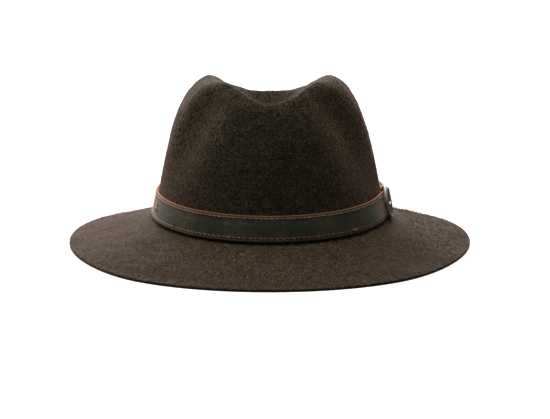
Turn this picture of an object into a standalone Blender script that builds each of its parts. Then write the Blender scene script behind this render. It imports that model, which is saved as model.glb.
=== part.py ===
"""A felt fedora with a creased and pinched crown, a drooping brim and a buckled leather band.

Metres, +Z up. The hat stands on its brim at z = 0 with its front towards -Y, and the buckle is
on the wearer's left, at +X. The felt is one blocked shell. The band is one strap: it starts in
an eye on the buckle's heel bar, goes once round the crown, passes under the buckle's front bar
and lies with its tip over its own start.
"""

import math

import bmesh
import bpy
import numpy as np

# The head opening, measured inside the felt where crown and brim meet
HEAD_WIDTH = 0.1676
HEAD_LENGTH = 0.1990
FELT_THICKNESS = 0.0022
FOOT_FULLNESS_SHARE = 0.016

# The brim, measured in plan from the foot of the crown to the cut edge
BRIM_SIDE_REACH = 0.0624
BRIM_FRONT_REACH = 0.0650
BRIM_BACK_REACH = 0.0610
BRIM_DROP = 0.0172
BRIM_SIDE_LIFT = 0.0027
BREAK_SIDE_LIFT = 0.0020
BRIM_FULLNESS_SHARE = 0.014
BRIM_REST_ARC = math.radians(36)
BRIM_REST_WIDTH = 0.0026
BRIM_EDGE_SLANT = 0.0004

# The crown, measured up from the break line between crown and brim
CROWN_RISE = 0.1053
FRONT_LIP_DIP = 0.0112
FRONT_LIP_ARC = math.radians(50)
BACK_LIP_DIP = 0.0225
BACK_LIP_LEVEL = math.radians(6)
BACK_LIP_ARC = math.radians(94)
CREASE_DEPTH = 0.0280

# The two finger pinches at the front of the crown
PINCH_DEPTH = 0.0085
PINCH_AZIMUTH = math.radians(43)
PINCH_SPREAD = math.radians(30)
PINCH_ARC = math.radians(24)

# The leather strap
STRAP_WIDTH = 0.0184
STRAP_THICKNESS = 0.0017
STRAP_CHAMFER = 0.00035
STRAP_ABOVE_BREAK = 0.0021
STRAP_TIP_REACH = 0.0420
STRAP_TIP_TAPER_LENGTH = 0.0120
STRAP_HOLE_RADIUS = 0.0013
STRAP_HOLE_SPACING = 0.0120
STRAP_SPARE_HOLES = 2
STRAP_EYE_WALL = 0.0007
STRAP_EYE_TAPER_LENGTH = 0.0120

# The buckle and its prong
BUCKLE_AZIMUTH = math.radians(-1)
BUCKLE_LENGTH = 0.0184
BUCKLE_WIRE_RADIUS = 0.00115
BUCKLE_FRONT_RADIUS = 0.0090
BUCKLE_LIFT = 0.0006
LARGEST_CORNER_SHARE = 0.49
PRONG_RADIUS = 0.0008
PRONG_OVERHANG = 0.0012

# Clearances between neighbouring pieces
SEAT_GAP = 0.00035
PIVOT_GAP = 0.00025

# How finely the solids are faceted
FELT_FACETS_AROUND = 64
FELT_STEPS_PER_SECTION = 1.5
STRAP_STEP = 0.0058
STRAP_STEPS_AT_BUCKLE = 16
WIRE_SIDES = 10
CORNER_STEPS = 5
PRONG_STEPS = 12
RING_SIDES = 16
PATH_STEPS = 720

# Sections of the brim, from its cut edge inwards: shares of the brim's reach and of its drop
BRIM_SECTIONS = (
    # reach, drop
    (1.000, 1.000),
    (0.920, 0.955),
    (0.740, 0.785),
    (0.520, 0.565),
    (0.300, 0.325),
    (0.110, 0.105),
    (0.030, 0.025),
)

# Sections of the crown, from its foot to the crease. Width, front and back are shares of the
# foot's half width and half length, rise of the crown's rise, lip of the dips of the front and
# back lips, crease of the crease's depth, and pinch of the pinches' depth.
CROWN_SECTIONS = (
    # width, front, back, rise, lip, crease, pinch
    (0.994, 0.994, 0.994, 0.010, 0.00, 0.00, 0.00),
    (0.980, 0.981, 0.981, 0.060, 0.00, 0.00, 0.00),
    (0.953, 0.955, 0.958, 0.200, 0.00, 0.00, 0.05),
    (0.900, 0.908, 0.922, 0.430, 0.10, 0.00, 0.40),
    (0.836, 0.866, 0.886, 0.650, 0.40, 0.00, 1.00),
    (0.754, 0.822, 0.850, 0.830, 0.72, 0.00, 1.05),
    (0.652, 0.780, 0.815, 0.955, 0.95, 0.00, 0.60),
    (0.538, 0.742, 0.775, 1.028, 1.02, 0.00, 0.18),
    (0.425, 0.685, 0.715, 1.020, 1.00, 0.06, 0.00),
    (0.300, 0.600, 0.635, 0.985, 0.75, 0.45, 0.00),
    (0.150, 0.520, 0.555, 0.980, 0.42, 0.88, 0.00),
    (0.000, 0.490, 0.525, 0.980, 0.30, 1.00, 0.00),
)

# The axes of the flat layout in which strap and buckle are made before they are wrapped
ALONG = (1.0, 0.0, 0.0)
ACROSS = (0.0, 1.0, 0.0)
OUT = (0.0, 0.0, 1.0)

FELT_COLOUR = (0.072, 0.052, 0.041)
LEATHER_COLOUR = (0.045, 0.040, 0.033)
METAL_COLOUR = (0.42, 0.40, 0.37)

# What follows from the sizes above
FOOT_HALF_WIDTH = HEAD_WIDTH / 2 + FELT_THICKNESS
FOOT_HALF_LENGTH = HEAD_LENGTH / 2 + FELT_THICKNESS
BREAK_HEIGHT = BRIM_DROP + FELT_THICKNESS
CROWN_SETBACK = (BRIM_FRONT_REACH - BRIM_BACK_REACH) / 2
EYE_BORE = BUCKLE_WIRE_RADIUS + PIVOT_GAP
EYE_RADIUS = EYE_BORE + STRAP_EYE_WALL
HEEL_HEIGHT = SEAT_GAP + EYE_RADIUS
FRONT_BAR_HEIGHT = 2 * SEAT_GAP + STRAP_THICKNESS + BUCKLE_LIFT + BUCKLE_WIRE_RADIUS
STRAP_OVER_EYE = 2 * SEAT_GAP + 2 * EYE_RADIUS
PRONG_TIP_HEIGHT = FRONT_BAR_HEIGHT + BUCKLE_WIRE_RADIUS + PIVOT_GAP + PRONG_RADIUS


def smooth_share(value):
    """Runs from 0 to 1 with level ends while the value runs from 0 to 1."""
    held = np.clip(value, 0.0, 1.0)
    return held * held * (3.0 - 2.0 * held)


def bell(distance, reach):
    """1 at no distance, falling smoothly to 0 at the reach."""
    return np.cos(np.clip(np.abs(distance) / reach, 0.0, 1.0) * math.pi / 2) ** 2


def turned_difference(turns, centre):
    """The signed angle from the centre to each turn."""
    return (turns - centre + math.pi) % (2 * math.pi) - math.pi


def oval(half_width, front_reach, back_reach, fullness, turns):
    """Points in plan on an oval that is a little fuller than an ellipse at its shoulders."""
    swell = 1.0 + fullness * np.sin(2 * turns) ** 2
    reach = np.where(np.sin(turns) < 0, front_reach, back_reach)
    return np.stack([half_width * np.cos(turns) * swell, reach * np.sin(turns) * swell], axis=-1)


def edge_lift(turns):
    """How far the brim's edge stands above the ground: nothing in front and behind."""
    resting = math.sin(BRIM_REST_ARC) ** 2
    return BRIM_SIDE_LIFT * smooth_share((np.cos(turns) ** 2 - resting) / (1.0 - resting))


def break_height(turns):
    """The height of the line where the brim leaves the crown, a little higher at the sides."""
    return FELT_THICKNESS + BRIM_DROP + BREAK_SIDE_LIFT * np.cos(turns) ** 2


def brim_ring(section, turns):
    """One control ring of the brim."""
    reach, drop = section
    foot = oval(FOOT_HALF_WIDTH, FOOT_HALF_LENGTH, FOOT_HALF_LENGTH, FOOT_FULLNESS_SHARE, turns)
    edge_width = FOOT_HALF_WIDTH + BRIM_SIDE_REACH
    edge_front = FOOT_HALF_LENGTH + BRIM_FRONT_REACH
    edge_back = FOOT_HALF_LENGTH + BRIM_BACK_REACH
    edge = oval(edge_width, edge_front, edge_back, BRIM_FULLNESS_SHARE, turns)
    plan = foot + reach * (edge - foot)
    edge_height = FELT_THICKNESS + edge_lift(turns)
    height = break_height(turns) + drop * (edge_height - break_height(turns))
    return np.column_stack([plan, height])


def crown_ring(section, turns):
    """One control ring of the crown, with its share of the lips, the crease and the pinches."""
    width, front, back, rise, lip, crease, pinch = section
    fullness = FOOT_FULLNESS_SHARE * (1.0 - rise)
    plan = oval(FOOT_HALF_WIDTH * width, FOOT_HALF_LENGTH * front, FOOT_HALF_LENGTH * back, fullness, turns)
    from_front = turned_difference(turns, -math.pi / 2)
    from_back = np.abs(turned_difference(turns, math.pi / 2))
    back_share = 1.0 - smooth_share((from_back - BACK_LIP_LEVEL) / (BACK_LIP_ARC - BACK_LIP_LEVEL))
    dips = FRONT_LIP_DIP * bell(from_front, FRONT_LIP_ARC) + BACK_LIP_DIP * back_share
    foot_height = break_height(turns) + rise * (BREAK_HEIGHT - break_height(turns))
    height = foot_height + CROWN_RISE * rise - lip * dips - crease * CREASE_DEPTH
    pinch_centre = PINCH_AZIMUTH + PINCH_SPREAD * (1.0 - rise)
    pinched = pinch * PINCH_DEPTH * bell(np.abs(from_front) - pinch_centre, PINCH_ARC)
    inwards = -plan / np.linalg.norm(plan, axis=-1, keepdims=True).clip(1e-9)
    return np.column_stack([plan + inwards * pinched[:, None], height])


def felt_surface(turns, positions):
    """The outer face of the felt as rows of points: a cubic B-spline over the control rings.

    Position 0 is the brim's cut edge and the last section's number is the crease line, where
    the surface runs on into its own mirror image and so stays smooth.
    """
    rings = [brim_ring(section, turns) for section in BRIM_SECTIONS]
    rings += [crown_ring(section, turns) for section in CROWN_SECTIONS]
    before = 2 * rings[0] - rings[1]
    after = rings[-2] * (-1.0, 1.0, 1.0)
    control = np.stack([before, *rings, after]) + (0.0, CROWN_SETBACK, 0.0)
    first = np.minimum(positions.astype(int), len(rings) - 2)
    share = (positions - first)[:, None, None]
    weights = (
        (1 - share) ** 3,
        3 * share**3 - 6 * share**2 + 4,
        -3 * share**3 + 3 * share**2 + 3 * share + 1,
        share**3,
    )
    return sum(weight * control[first + k] for k, weight in enumerate(weights)) / 6


def last_position():
    """The spline position of the crease line."""
    return len(BRIM_SECTIONS) + len(CROWN_SECTIONS) - 1


def principled(name, colour, roughness, metallic):
    """A material with one plain finish."""
    material = bpy.data.materials.new(name)
    material.use_nodes = True
    shader = material.node_tree.nodes["Principled BSDF"]
    shader.inputs["Base Color"].default_value = (*colour, 1.0)
    shader.inputs["Roughness"].default_value = roughness
    shader.inputs["Metallic"].default_value = metallic
    return material


def add_object(name, mesh, material=None):
    """A linked object of the mesh, shaded smooth except at its real edges."""
    thing = bpy.data.objects.new(name, mesh)
    bpy.context.scene.collection.objects.link(thing)
    mesh.shade_smooth()
    mesh.set_sharp_from_angle(angle=math.radians(35))
    if material is not None:
        mesh.materials.append(material)
    return thing


def mesh_from(name, shape):
    """The bmesh as a mesh, freed afterwards."""
    mesh = bpy.data.meshes.new(name)
    shape.to_mesh(mesh)
    shape.free()
    return mesh


def build_felt_body(material):
    """Crown and brim as one shell of even thickness, with a flat land where the brim rests."""
    around = FELT_FACETS_AROUND
    turns = np.arange(around) * (2 * math.pi / around)
    steps = round(last_position() * FELT_STEPS_PER_SECTION)
    rows = felt_surface(turns, np.linspace(0.0, last_position(), steps + 1))
    shape = bmesh.new()
    outer = [[shape.verts.new(point) for point in row] for row in rows[:-1]]
    crease = {}
    for j in range(around):
        twin = min(j, (around // 2 - j) % around)
        if twin not in crease:
            x, y, z = rows[-1, twin]
            crease[twin] = shape.verts.new((0.0, y, z))
    outer.append([crease[min(j, (around // 2 - j) % around)] for j in range(around)])
    for lower, upper in zip(outer, outer[1:]):
        for j in range(around):
            k = (j + 1) % around
            shape.faces.new((lower[j], lower[k], upper[k], upper[j]))
    shape.normal_update()

    inner_of = {vert: shape.verts.new(vert.co - vert.normal * FELT_THICKNESS) for vert in list(shape.verts)}
    for face in list(shape.faces):
        shape.faces.new([inner_of[vert] for vert in reversed(face.verts)])
    for j in range(around):
        edge = outer[0][j]
        inwards = -edge.co.xy.normalized()
        height = float(edge_lift(turns[j]))
        below = edge.co.xy + inwards * BRIM_EDGE_SLANT
        inner_of[edge].co = (*below, height)
        inner_of[outer[1][j]].co = (*(below + inwards * BRIM_REST_WIDTH), height)
    for j in range(around):
        k = (j + 1) % around
        shape.faces.new((inner_of[outer[0][j]], inner_of[outer[0][k]], outer[0][k], outer[0][j]))
    return add_object("felt_body", mesh_from("felt_body", shape), material)


class BandPath:
    """The belt line round the crown. Flat points (along, across, out) are wrapped on it.

    Along runs from the buckle's heel bar backwards round the crown, across runs up the strap
    from its lower edge, and out is the height over the felt.
    """

    def __init__(self):
        """Find the strap's lower and upper lines on the felt."""
        turns = BUCKLE_AZIMUTH + np.linspace(0.0, 2 * math.pi, PATH_STEPS + 1)
        foot = len(BRIM_SECTIONS) - 1
        columns = felt_surface(turns, np.linspace(foot, foot + 6, 121)).transpose(1, 0, 2)
        low_heights = break_height(turns) + STRAP_ABOVE_BREAK
        lines = [self.edges_on(column, height) for column, height in zip(columns, low_heights)]
        self.lower = np.array([line[0] for line in lines])
        self.upper = np.array([line[1] for line in lines])
        middle = (self.lower + self.upper) / 2
        runs = np.linalg.norm(np.diff(middle, axis=0), axis=1)
        self.along = np.concatenate([[0.0], np.cumsum(runs)])
        self.length = self.along[-1]
        tangent = np.gradient(middle, self.along, axis=0)
        tangent[0] = tangent[-1] = (tangent[1] + tangent[-2]) / 2
        out = np.cross(tangent, self.upper - self.lower)
        self.out = out / np.linalg.norm(out, axis=1, keepdims=True)

    @staticmethod
    def edges_on(column, low_height):
        """The points of one column of the felt at the strap's lower and upper edge."""
        climbed = np.concatenate([[0.0], np.cumsum(np.linalg.norm(np.diff(column, axis=0), axis=1))])
        start = np.interp(low_height, column[:, 2], climbed)
        ends = (start, start + STRAP_WIDTH)
        return [np.array([np.interp(end, climbed, column[:, axis]) for axis in range(3)]) for end in ends]

    def at(self, values, along):
        """The value of one of the path's lines at each distance along it."""
        wrapped = np.mod(along, self.length)
        return np.stack([np.interp(wrapped, self.along, values[:, axis]) for axis in range(3)], axis=-1)

    def wrap(self, points):
        """World positions of flat points."""
        along, across, out = np.asarray(points, float).T
        lower = self.at(self.lower, along)
        upper = self.at(self.upper, along)
        share = (across / STRAP_WIDTH)[:, None]
        return lower + share * (upper - lower) + out[:, None] * self.at(self.out, along)

    def wrap_mesh(self, mesh):
        """Move each vertex of a flat mesh to its place on the crown."""
        flat = np.empty(len(mesh.vertices) * 3)
        mesh.vertices.foreach_get("co", flat)
        mesh.vertices.foreach_set("co", self.wrap(flat.reshape(-1, 3)).ravel())
        mesh.update()


def start_thickness(along):
    """The height over the felt of the strap's start, which is thick round its eye."""
    tapered = 1.0 - smooth_share(along / STRAP_EYE_TAPER_LENGTH)
    return STRAP_THICKNESS + (2 * EYE_RADIUS - STRAP_THICKNESS) * tapered


def strap_faces(along, path_length):
    """The inner and outer height of the strap over the felt at a distance from its heel end."""
    if along < 0:
        half = math.sqrt(max(EYE_RADIUS**2 - along**2, 0.0))
        return HEEL_HEIGHT - half, HEEL_HEIGHT + half
    to_heel = along - path_length
    if to_heel >= 0:
        inner = 2 * SEAT_GAP + float(start_thickness(to_heel))
        return inner, inner + STRAP_THICKNESS
    climb_from = -(BUCKLE_LENGTH - 3 * BUCKLE_WIRE_RADIUS)
    climb_to = -EYE_RADIUS / 2
    climbed = float(smooth_share((to_heel - climb_from) / (climb_to - climb_from)))
    inner = SEAT_GAP + climbed * (STRAP_OVER_EYE - SEAT_GAP)
    return inner, inner + max(STRAP_THICKNESS, float(start_thickness(along)))


def strap_edges(along, total):
    """The lower and upper edge of the strap, which narrows to a round tip at its end."""
    into_tip = (along - (total - STRAP_TIP_TAPER_LENGTH)) / STRAP_TIP_TAPER_LENGTH
    if into_tip <= 0:
        return 0.0, STRAP_WIDTH
    half = STRAP_WIDTH / 2 * math.sqrt(max(1.0 - into_tip**2.4, 0.0))
    return STRAP_WIDTH / 2 - half, STRAP_WIDTH / 2 + half


def strap_stations(path_length, total):
    """Distances along the strap, closer together at its eye, its climb and its tip."""
    eye_angles = np.radians((72, 48, 24))
    eye = -EYE_RADIUS * np.sin(eye_angles)
    taper = np.linspace(0.0, STRAP_EYE_TAPER_LENGTH, 5)
    climb_start = path_length - BUCKLE_LENGTH
    climb_end = path_length + STRAP_EYE_TAPER_LENGTH
    tip_start = total - STRAP_TIP_TAPER_LENGTH
    round_count = math.ceil((climb_start - STRAP_EYE_TAPER_LENGTH) / STRAP_STEP)
    plain = np.linspace(STRAP_EYE_TAPER_LENGTH, climb_start, round_count + 1)[1:]
    climb = np.linspace(climb_start, climb_end, STRAP_STEPS_AT_BUCKLE + 1)[1:]
    flat_count = math.ceil((tip_start - climb_end) / STRAP_STEP)
    flat = np.linspace(climb_end, tip_start, flat_count + 1)[1:]
    tip = total - STRAP_TIP_TAPER_LENGTH * (1.0 - np.sin(np.radians((20, 40, 58, 72, 82))))
    return np.concatenate([eye, taper, plain, climb, flat, tip])


def build_flat_strap(path_length):
    """The strap before it is wrapped: a strip with chamfered edges."""
    total = path_length + STRAP_TIP_REACH
    shape = bmesh.new()
    rings = []
    for along in strap_stations(path_length, total):
        inner, outer = strap_faces(along, path_length)
        low, high = strap_edges(along, total)
        chamfer = min(STRAP_CHAMFER, 0.3 * (outer - inner))
        corners = (
            (low + chamfer, inner),
            (high - chamfer, inner),
            (high, inner + chamfer),
            (high, outer - chamfer),
            (high - chamfer, outer),
            (low + chamfer, outer),
            (low, outer - chamfer),
            (low, inner + chamfer),
        )
        rings.append([shape.verts.new((along, across, out)) for across, out in corners])
    skin_between(shape, rings, False)
    return add_object("strap_flat", mesh_from("strap_flat", shape))


def skin_between(shape, rings, closed):
    """Join each ring of vertices to the next, and cap the ends of an open run."""
    count = len(rings[0])
    followers = rings[1:] + rings[:1] if closed else rings[1:]
    for near, far in zip(rings, followers):
        for j in range(count):
            k = (j + 1) % count
            shape.faces.new((near[j], near[k], far[k], far[j]))
    if not closed:
        shape.faces.new(reversed(rings[0]))
        shape.faces.new(rings[-1])
    bmesh.ops.recalc_face_normals(shape, faces=shape.faces)


def tube_mesh(name, centres, radii, sides, flat_normal, closed=False):
    """A round tube through points that lie in one plane, given by its normal."""
    centres = np.asarray(centres, float)
    if closed:
        tangents = np.roll(centres, -1, axis=0) - np.roll(centres, 1, axis=0)
    else:
        tangents = np.gradient(centres, axis=0)
    shape = bmesh.new()
    rings = []
    angles = (np.arange(sides) + 0.5) * (2 * math.pi / sides)
    for centre, tangent, radius in zip(centres, tangents, radii):
        side = np.cross(tangent, flat_normal)
        side /= np.linalg.norm(side)
        other = np.cross(side, tangent)
        other /= np.linalg.norm(other)
        ring = [centre + radius * (math.cos(a) * side + math.sin(a) * other) for a in angles]
        rings.append([shape.verts.new(point) for point in ring])
    skin_between(shape, rings, closed)
    return mesh_from(name, shape)


def turned_ring_mesh(name, centre, bore, outer, half_width, sides):
    """A flat ring whose axis runs across the strap."""
    profile = ((bore, -half_width), (outer, -half_width), (outer, half_width), (bore, half_width))
    shape = bmesh.new()
    rings = []
    for angle in np.arange(sides) * (2 * math.pi / sides):
        direction = np.array((math.cos(angle), 0.0, math.sin(angle)))
        ring = [centre + radius * direction + np.array((0.0, width, 0.0)) for radius, width in profile]
        rings.append([shape.verts.new(point) for point in ring])
    skin_between(shape, rings, True)
    return mesh_from(name, shape)


def box_mesh(name, low, high):
    """A box between two corners of the flat layout."""
    shape = bmesh.new()
    bmesh.ops.create_cube(shape, size=1.0)
    low = np.asarray(low, float)
    high = np.asarray(high, float)
    for vert in shape.verts:
        vert.co = (low + high) / 2 + np.array(vert.co) * (high - low)
    return mesh_from(name, shape)


def combined(target, operation, operands):
    """The evaluated mesh of the target after one Boolean for each operand."""
    for operand in operands:
        operand.hide_render = True
        operand.display_type = "WIRE"
        modifier = target.modifiers.new(operand.name, "BOOLEAN")
        modifier.operation = operation
        modifier.solver = "EXACT"
        modifier.object = operand
    graph = bpy.context.evaluated_depsgraph_get()
    mesh = bpy.data.meshes.new_from_object(target.evaluated_get(graph))
    for thing in (target, *operands):
        bpy.data.objects.remove(thing)
    return mesh


def prong_centres():
    """The prong's centre line: from the heel bar, up through the strap, over the front bar."""
    start = -EYE_BORE
    end = -BUCKLE_LENGTH - BUCKLE_WIRE_RADIUS - PRONG_OVERHANG
    along = np.linspace(start, end, PRONG_STEPS)
    climb_end = BUCKLE_LENGTH - 2 * BUCKLE_WIRE_RADIUS
    climbed = smooth_share((-along - EYE_RADIUS) / (climb_end - EYE_RADIUS))
    out = HEEL_HEIGHT + (PRONG_TIP_HEIGHT - HEEL_HEIGHT) * climbed
    return np.column_stack([along, np.full(PRONG_STEPS, STRAP_WIDTH / 2), out])


def strap_cutters(path_length):
    """What is cut from the strap: the heel bar's eye, the prong's slot and way, the spare holes."""
    middle = STRAP_WIDTH / 2
    heel_ends = ((0.0, -STRAP_WIDTH, HEEL_HEIGHT), (0.0, 2 * STRAP_WIDTH, HEEL_HEIGHT))
    eye = tube_mesh("eye_cutter", heel_ends, (EYE_BORE, EYE_BORE), RING_SIDES, ALONG)
    half_slot = PRONG_RADIUS + 2 * PIVOT_GAP
    slot_low = (-2 * EYE_RADIUS, middle - half_slot, -EYE_RADIUS)
    slot_high = (EYE_RADIUS + PIVOT_GAP, middle + half_slot, STRAP_OVER_EYE - SEAT_GAP / 2)
    slot = box_mesh("slot_cutter", slot_low, slot_high)
    way_centres = prong_centres() + np.array((path_length, 0.0, 0.0))
    way_radii = np.full(PRONG_STEPS, PRONG_RADIUS + SEAT_GAP)
    way = tube_mesh("prong_cutter", way_centres, way_radii, WIRE_SIDES, ACROSS)
    meshes = [eye, slot, way]
    for number in range(1, STRAP_SPARE_HOLES + 1):
        past_heel = number * STRAP_HOLE_SPACING
        start = float(start_thickness(past_heel)) + 1.5 * SEAT_GAP
        end = start + 2 * STRAP_THICKNESS
        along = path_length + past_heel
        ends = ((along, middle, start), (along, middle, end))
        radii = (STRAP_HOLE_RADIUS, STRAP_HOLE_RADIUS)
        meshes.append(tube_mesh(f"hole_cutter_{number}", ends, radii, WIRE_SIDES, ACROSS))
    return [add_object(mesh.name, mesh) for mesh in meshes]


def build_strap_band(path, material):
    """The strap with its eye, its prong slot and its holes, wrapped round the crown."""
    mesh = combined(build_flat_strap(path.length), "DIFFERENCE", strap_cutters(path.length))
    mesh.name = "strap_band"
    path.wrap_mesh(mesh)
    return add_object("strap_band", mesh, material)


def buckle_centres():
    """The centre line of the buckle's wire: square at the heel, round at the front."""
    outside = SEAT_GAP + BUCKLE_WIRE_RADIUS
    low = -outside
    high = STRAP_WIDTH + outside
    heel_radius = outside
    front_radius = min(BUCKLE_FRONT_RADIUS, LARGEST_CORNER_SHARE * (high - low))
    corners = (
        (-heel_radius, low + heel_radius, heel_radius, -90),
        (-heel_radius, high - heel_radius, heel_radius, 0),
        (-BUCKLE_LENGTH + front_radius, high - front_radius, front_radius, 90),
        (-BUCKLE_LENGTH + front_radius, low + front_radius, front_radius, 180),
    )
    points = []
    for along, across, radius, first_degrees in corners:
        for step in range(CORNER_STEPS + 1):
            angle = math.radians(first_degrees + 90 * step / CORNER_STEPS)
            points.append((along + radius * math.cos(angle), across + radius * math.sin(angle)))
    plan = np.array(points)
    climbed = smooth_share(-plan[:, 0] / (BUCKLE_LENGTH / 2))
    out = HEEL_HEIGHT + (FRONT_BAR_HEIGHT - HEEL_HEIGHT) * climbed
    return np.column_stack([plan, out])


def build_buckle_frame(path, material):
    """The buckle's closed loop of round wire."""
    centres = buckle_centres()
    radii = np.full(len(centres), BUCKLE_WIRE_RADIUS)
    mesh = tube_mesh("buckle_frame", centres, radii, WIRE_SIDES, OUT, closed=True)
    path.wrap_mesh(mesh)
    return add_object("buckle_frame", mesh, material)


def build_buckle_prong(path, material):
    """The prong: a ring on the heel bar and a rod that narrows to its tip."""
    radii = np.full(PRONG_STEPS, PRONG_RADIUS)
    radii[-1] = PRONG_RADIUS / 2
    rod = add_object("prong_rod", tube_mesh("prong_rod", prong_centres(), radii, WIRE_SIDES, ACROSS))
    centre = np.array((0.0, STRAP_WIDTH / 2, HEEL_HEIGHT))
    ring_mesh = turned_ring_mesh("prong_ring", centre, EYE_BORE, EYE_RADIUS, PRONG_RADIUS, RING_SIDES)
    ring = add_object("prong_ring", ring_mesh)
    mesh = combined(rod, "UNION", [ring])
    mesh.name = "buckle_prong"
    path.wrap_mesh(mesh)
    return add_object("buckle_prong", mesh, material)


def main():
    """Build the hat."""
    for thing in list(bpy.data.objects):
        bpy.data.objects.remove(thing)
    felt = principled("brown_felt", FELT_COLOUR, 0.95, 0.0)
    leather = principled("waxed_leather", LEATHER_COLOUR, 0.5, 0.0)
    metal = principled("aged_metal", METAL_COLOUR, 0.4, 1.0)
    path = BandPath()
    build_felt_body(felt)
    build_strap_band(path, leather)
    build_buckle_frame(path, metal)
    build_buckle_prong(path, metal)


main()
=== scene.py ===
"""A brown felt fedora with a buckled leather band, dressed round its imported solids."""

import logging
import math
from dataclasses import dataclass, field
from enum import Enum
from typing import Any, Optional, Sequence

import bmesh
import bpy
import numpy as np
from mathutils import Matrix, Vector


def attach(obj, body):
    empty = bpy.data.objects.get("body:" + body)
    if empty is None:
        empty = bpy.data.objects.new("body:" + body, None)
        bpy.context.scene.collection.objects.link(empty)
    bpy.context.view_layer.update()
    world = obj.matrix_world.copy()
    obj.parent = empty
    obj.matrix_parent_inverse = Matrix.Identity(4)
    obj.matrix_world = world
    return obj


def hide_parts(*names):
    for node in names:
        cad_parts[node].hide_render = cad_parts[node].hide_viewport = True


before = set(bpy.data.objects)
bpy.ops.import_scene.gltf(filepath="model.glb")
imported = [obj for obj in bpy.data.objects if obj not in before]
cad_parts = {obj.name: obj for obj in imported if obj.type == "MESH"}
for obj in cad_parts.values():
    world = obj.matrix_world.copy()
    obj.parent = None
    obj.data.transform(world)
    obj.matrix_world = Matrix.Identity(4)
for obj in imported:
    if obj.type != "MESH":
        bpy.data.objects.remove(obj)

LOG = logging.getLogger("fedora")
BODY = "root"
QUARTER_TURN = math.pi / 2
HALF_TURN = math.pi
FULL_TURN = 2 * math.pi
SHARP_ANGLE = math.radians(50)

# Directions of flat points, before they are wrapped on the crown
ALONG = (1.0, 0.0, 0.0)
ACROSS = (0.0, 1.0, 0.0)
OUT = (0.0, 0.0, 1.0)

# Rows of the felt's outer face that carry loose hairs, counted from the cut edge
BRIM_HAIR_ROWS = slice(1, 44)
CROWN_HAIR_ROWS = slice(68, None)

Colour = tuple[float, float, float]

FLOAT = "NodeSocketFloat"
COLOUR = "NodeSocketColor"
VECTOR = "NodeSocketVector"


# Small sums shared by the pieces


def smooth_share(value: Any) -> Any:
    """Ease a value from 0 to 1 with level ends.

    Args:
        value: A number or array that runs from 0 to 1.

    Returns:
        The eased number or array.
    """
    held = np.clip(value, 0.0, 1.0)
    return held * held * (3.0 - 2.0 * held)


def bell(distance: Any, reach: float) -> Any:
    """Give 1 at no distance, falling smoothly to 0 at the reach.

    Args:
        distance: Distances from the middle.
        reach: The distance at which the bell ends.

    Returns:
        The bell's height at each distance.
    """
    return np.cos(np.clip(np.abs(distance) / reach, 0.0, 1.0) * QUARTER_TURN) ** 2


def turned_difference(turns: np.ndarray, centre: float) -> np.ndarray:
    """Give the signed angle from the centre to each turn.

    Args:
        turns: Angles round the hat in radians.
        centre: The angle that they are measured from.

    Returns:
        Angles between minus and plus half a turn.
    """
    return (turns - centre + HALF_TURN) % FULL_TURN - HALF_TURN


def unit(vectors: np.ndarray) -> np.ndarray:
    """Scale each vector to length one.

    Args:
        vectors: Vectors along the last axis.

    Returns:
        The same directions with length one.
    """
    return vectors / np.linalg.norm(vectors, axis=-1, keepdims=True).clip(1e-12)


class SoftNoise:
    """A smooth random field in space, made of plane waves of about one length."""

    def __init__(self, seed: int, wavelength: float, waves: int = 40) -> None:
        """Draw the waves.

        Args:
            seed: The fixed seed of the draw.
            wavelength: The mean length of a wave in metres.
            waves: How many waves are added.
        """
        draw = np.random.default_rng(seed)
        directions = unit(draw.normal(size=(waves, 3)))
        lengths = wavelength * draw.uniform(0.7, 1.5, size=(waves, 1))
        self.waves = directions * FULL_TURN / lengths
        self.phases = draw.uniform(0.0, FULL_TURN, size=waves)
        self.scale = math.sqrt(2.0 / waves)

    def at(self, points: np.ndarray) -> np.ndarray:
        """Read the field.

        Args:
            points: Places in metres, along the last axis.

        Returns:
            A value with a spread of about one for each point.
        """
        return self.scale * np.sin(points @ self.waves.T + self.phases).sum(axis=-1)


# Making objects


def linked(name: str, data: bpy.types.ID) -> bpy.types.Object:
    """Make an object at the origin and link it to the scene.

    Args:
        name: The object's name.
        data: Its mesh, lamp or camera.

    Returns:
        The object.
    """
    thing = bpy.data.objects.new(name, data)
    bpy.context.scene.collection.objects.link(thing)
    return thing


def drop_loose(mesh: bpy.types.Mesh) -> None:
    """Take out the vertices that no edge uses.

    Args:
        mesh: The mesh.
    """
    shape = bmesh.new()
    shape.from_mesh(mesh)
    loose = [vert for vert in shape.verts if not vert.link_edges]
    bmesh.ops.delete(shape, geom=loose, context="VERTS")
    shape.to_mesh(mesh)
    shape.free()


def object_from(name: str, points: np.ndarray, faces: Sequence[Sequence[int]]) -> bpy.types.Object:
    """Make a linked object at the origin from points and faces.

    Args:
        name: The object's and the mesh's name.
        points: Vertex places in metres.
        faces: Vertex numbers of each face.

    Returns:
        The object, smooth shaded.
    """
    mesh = bpy.data.meshes.new(name)
    mesh.from_pydata(points.tolist(), [], [list(face) for face in faces])
    mesh.update()
    mesh.shade_smooth()
    return linked(name, mesh)


def object_of_shape(name: str, shape: bmesh.types.BMesh) -> bpy.types.Object:
    """Make a linked object at the origin from a bmesh, which is freed.

    Args:
        name: The object's and the mesh's name.
        shape: The bmesh.

    Returns:
        The object, smooth shaded.
    """
    mesh = bpy.data.meshes.new(name)
    shape.to_mesh(mesh)
    shape.free()
    mesh.shade_smooth()
    return linked(name, mesh)


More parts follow.
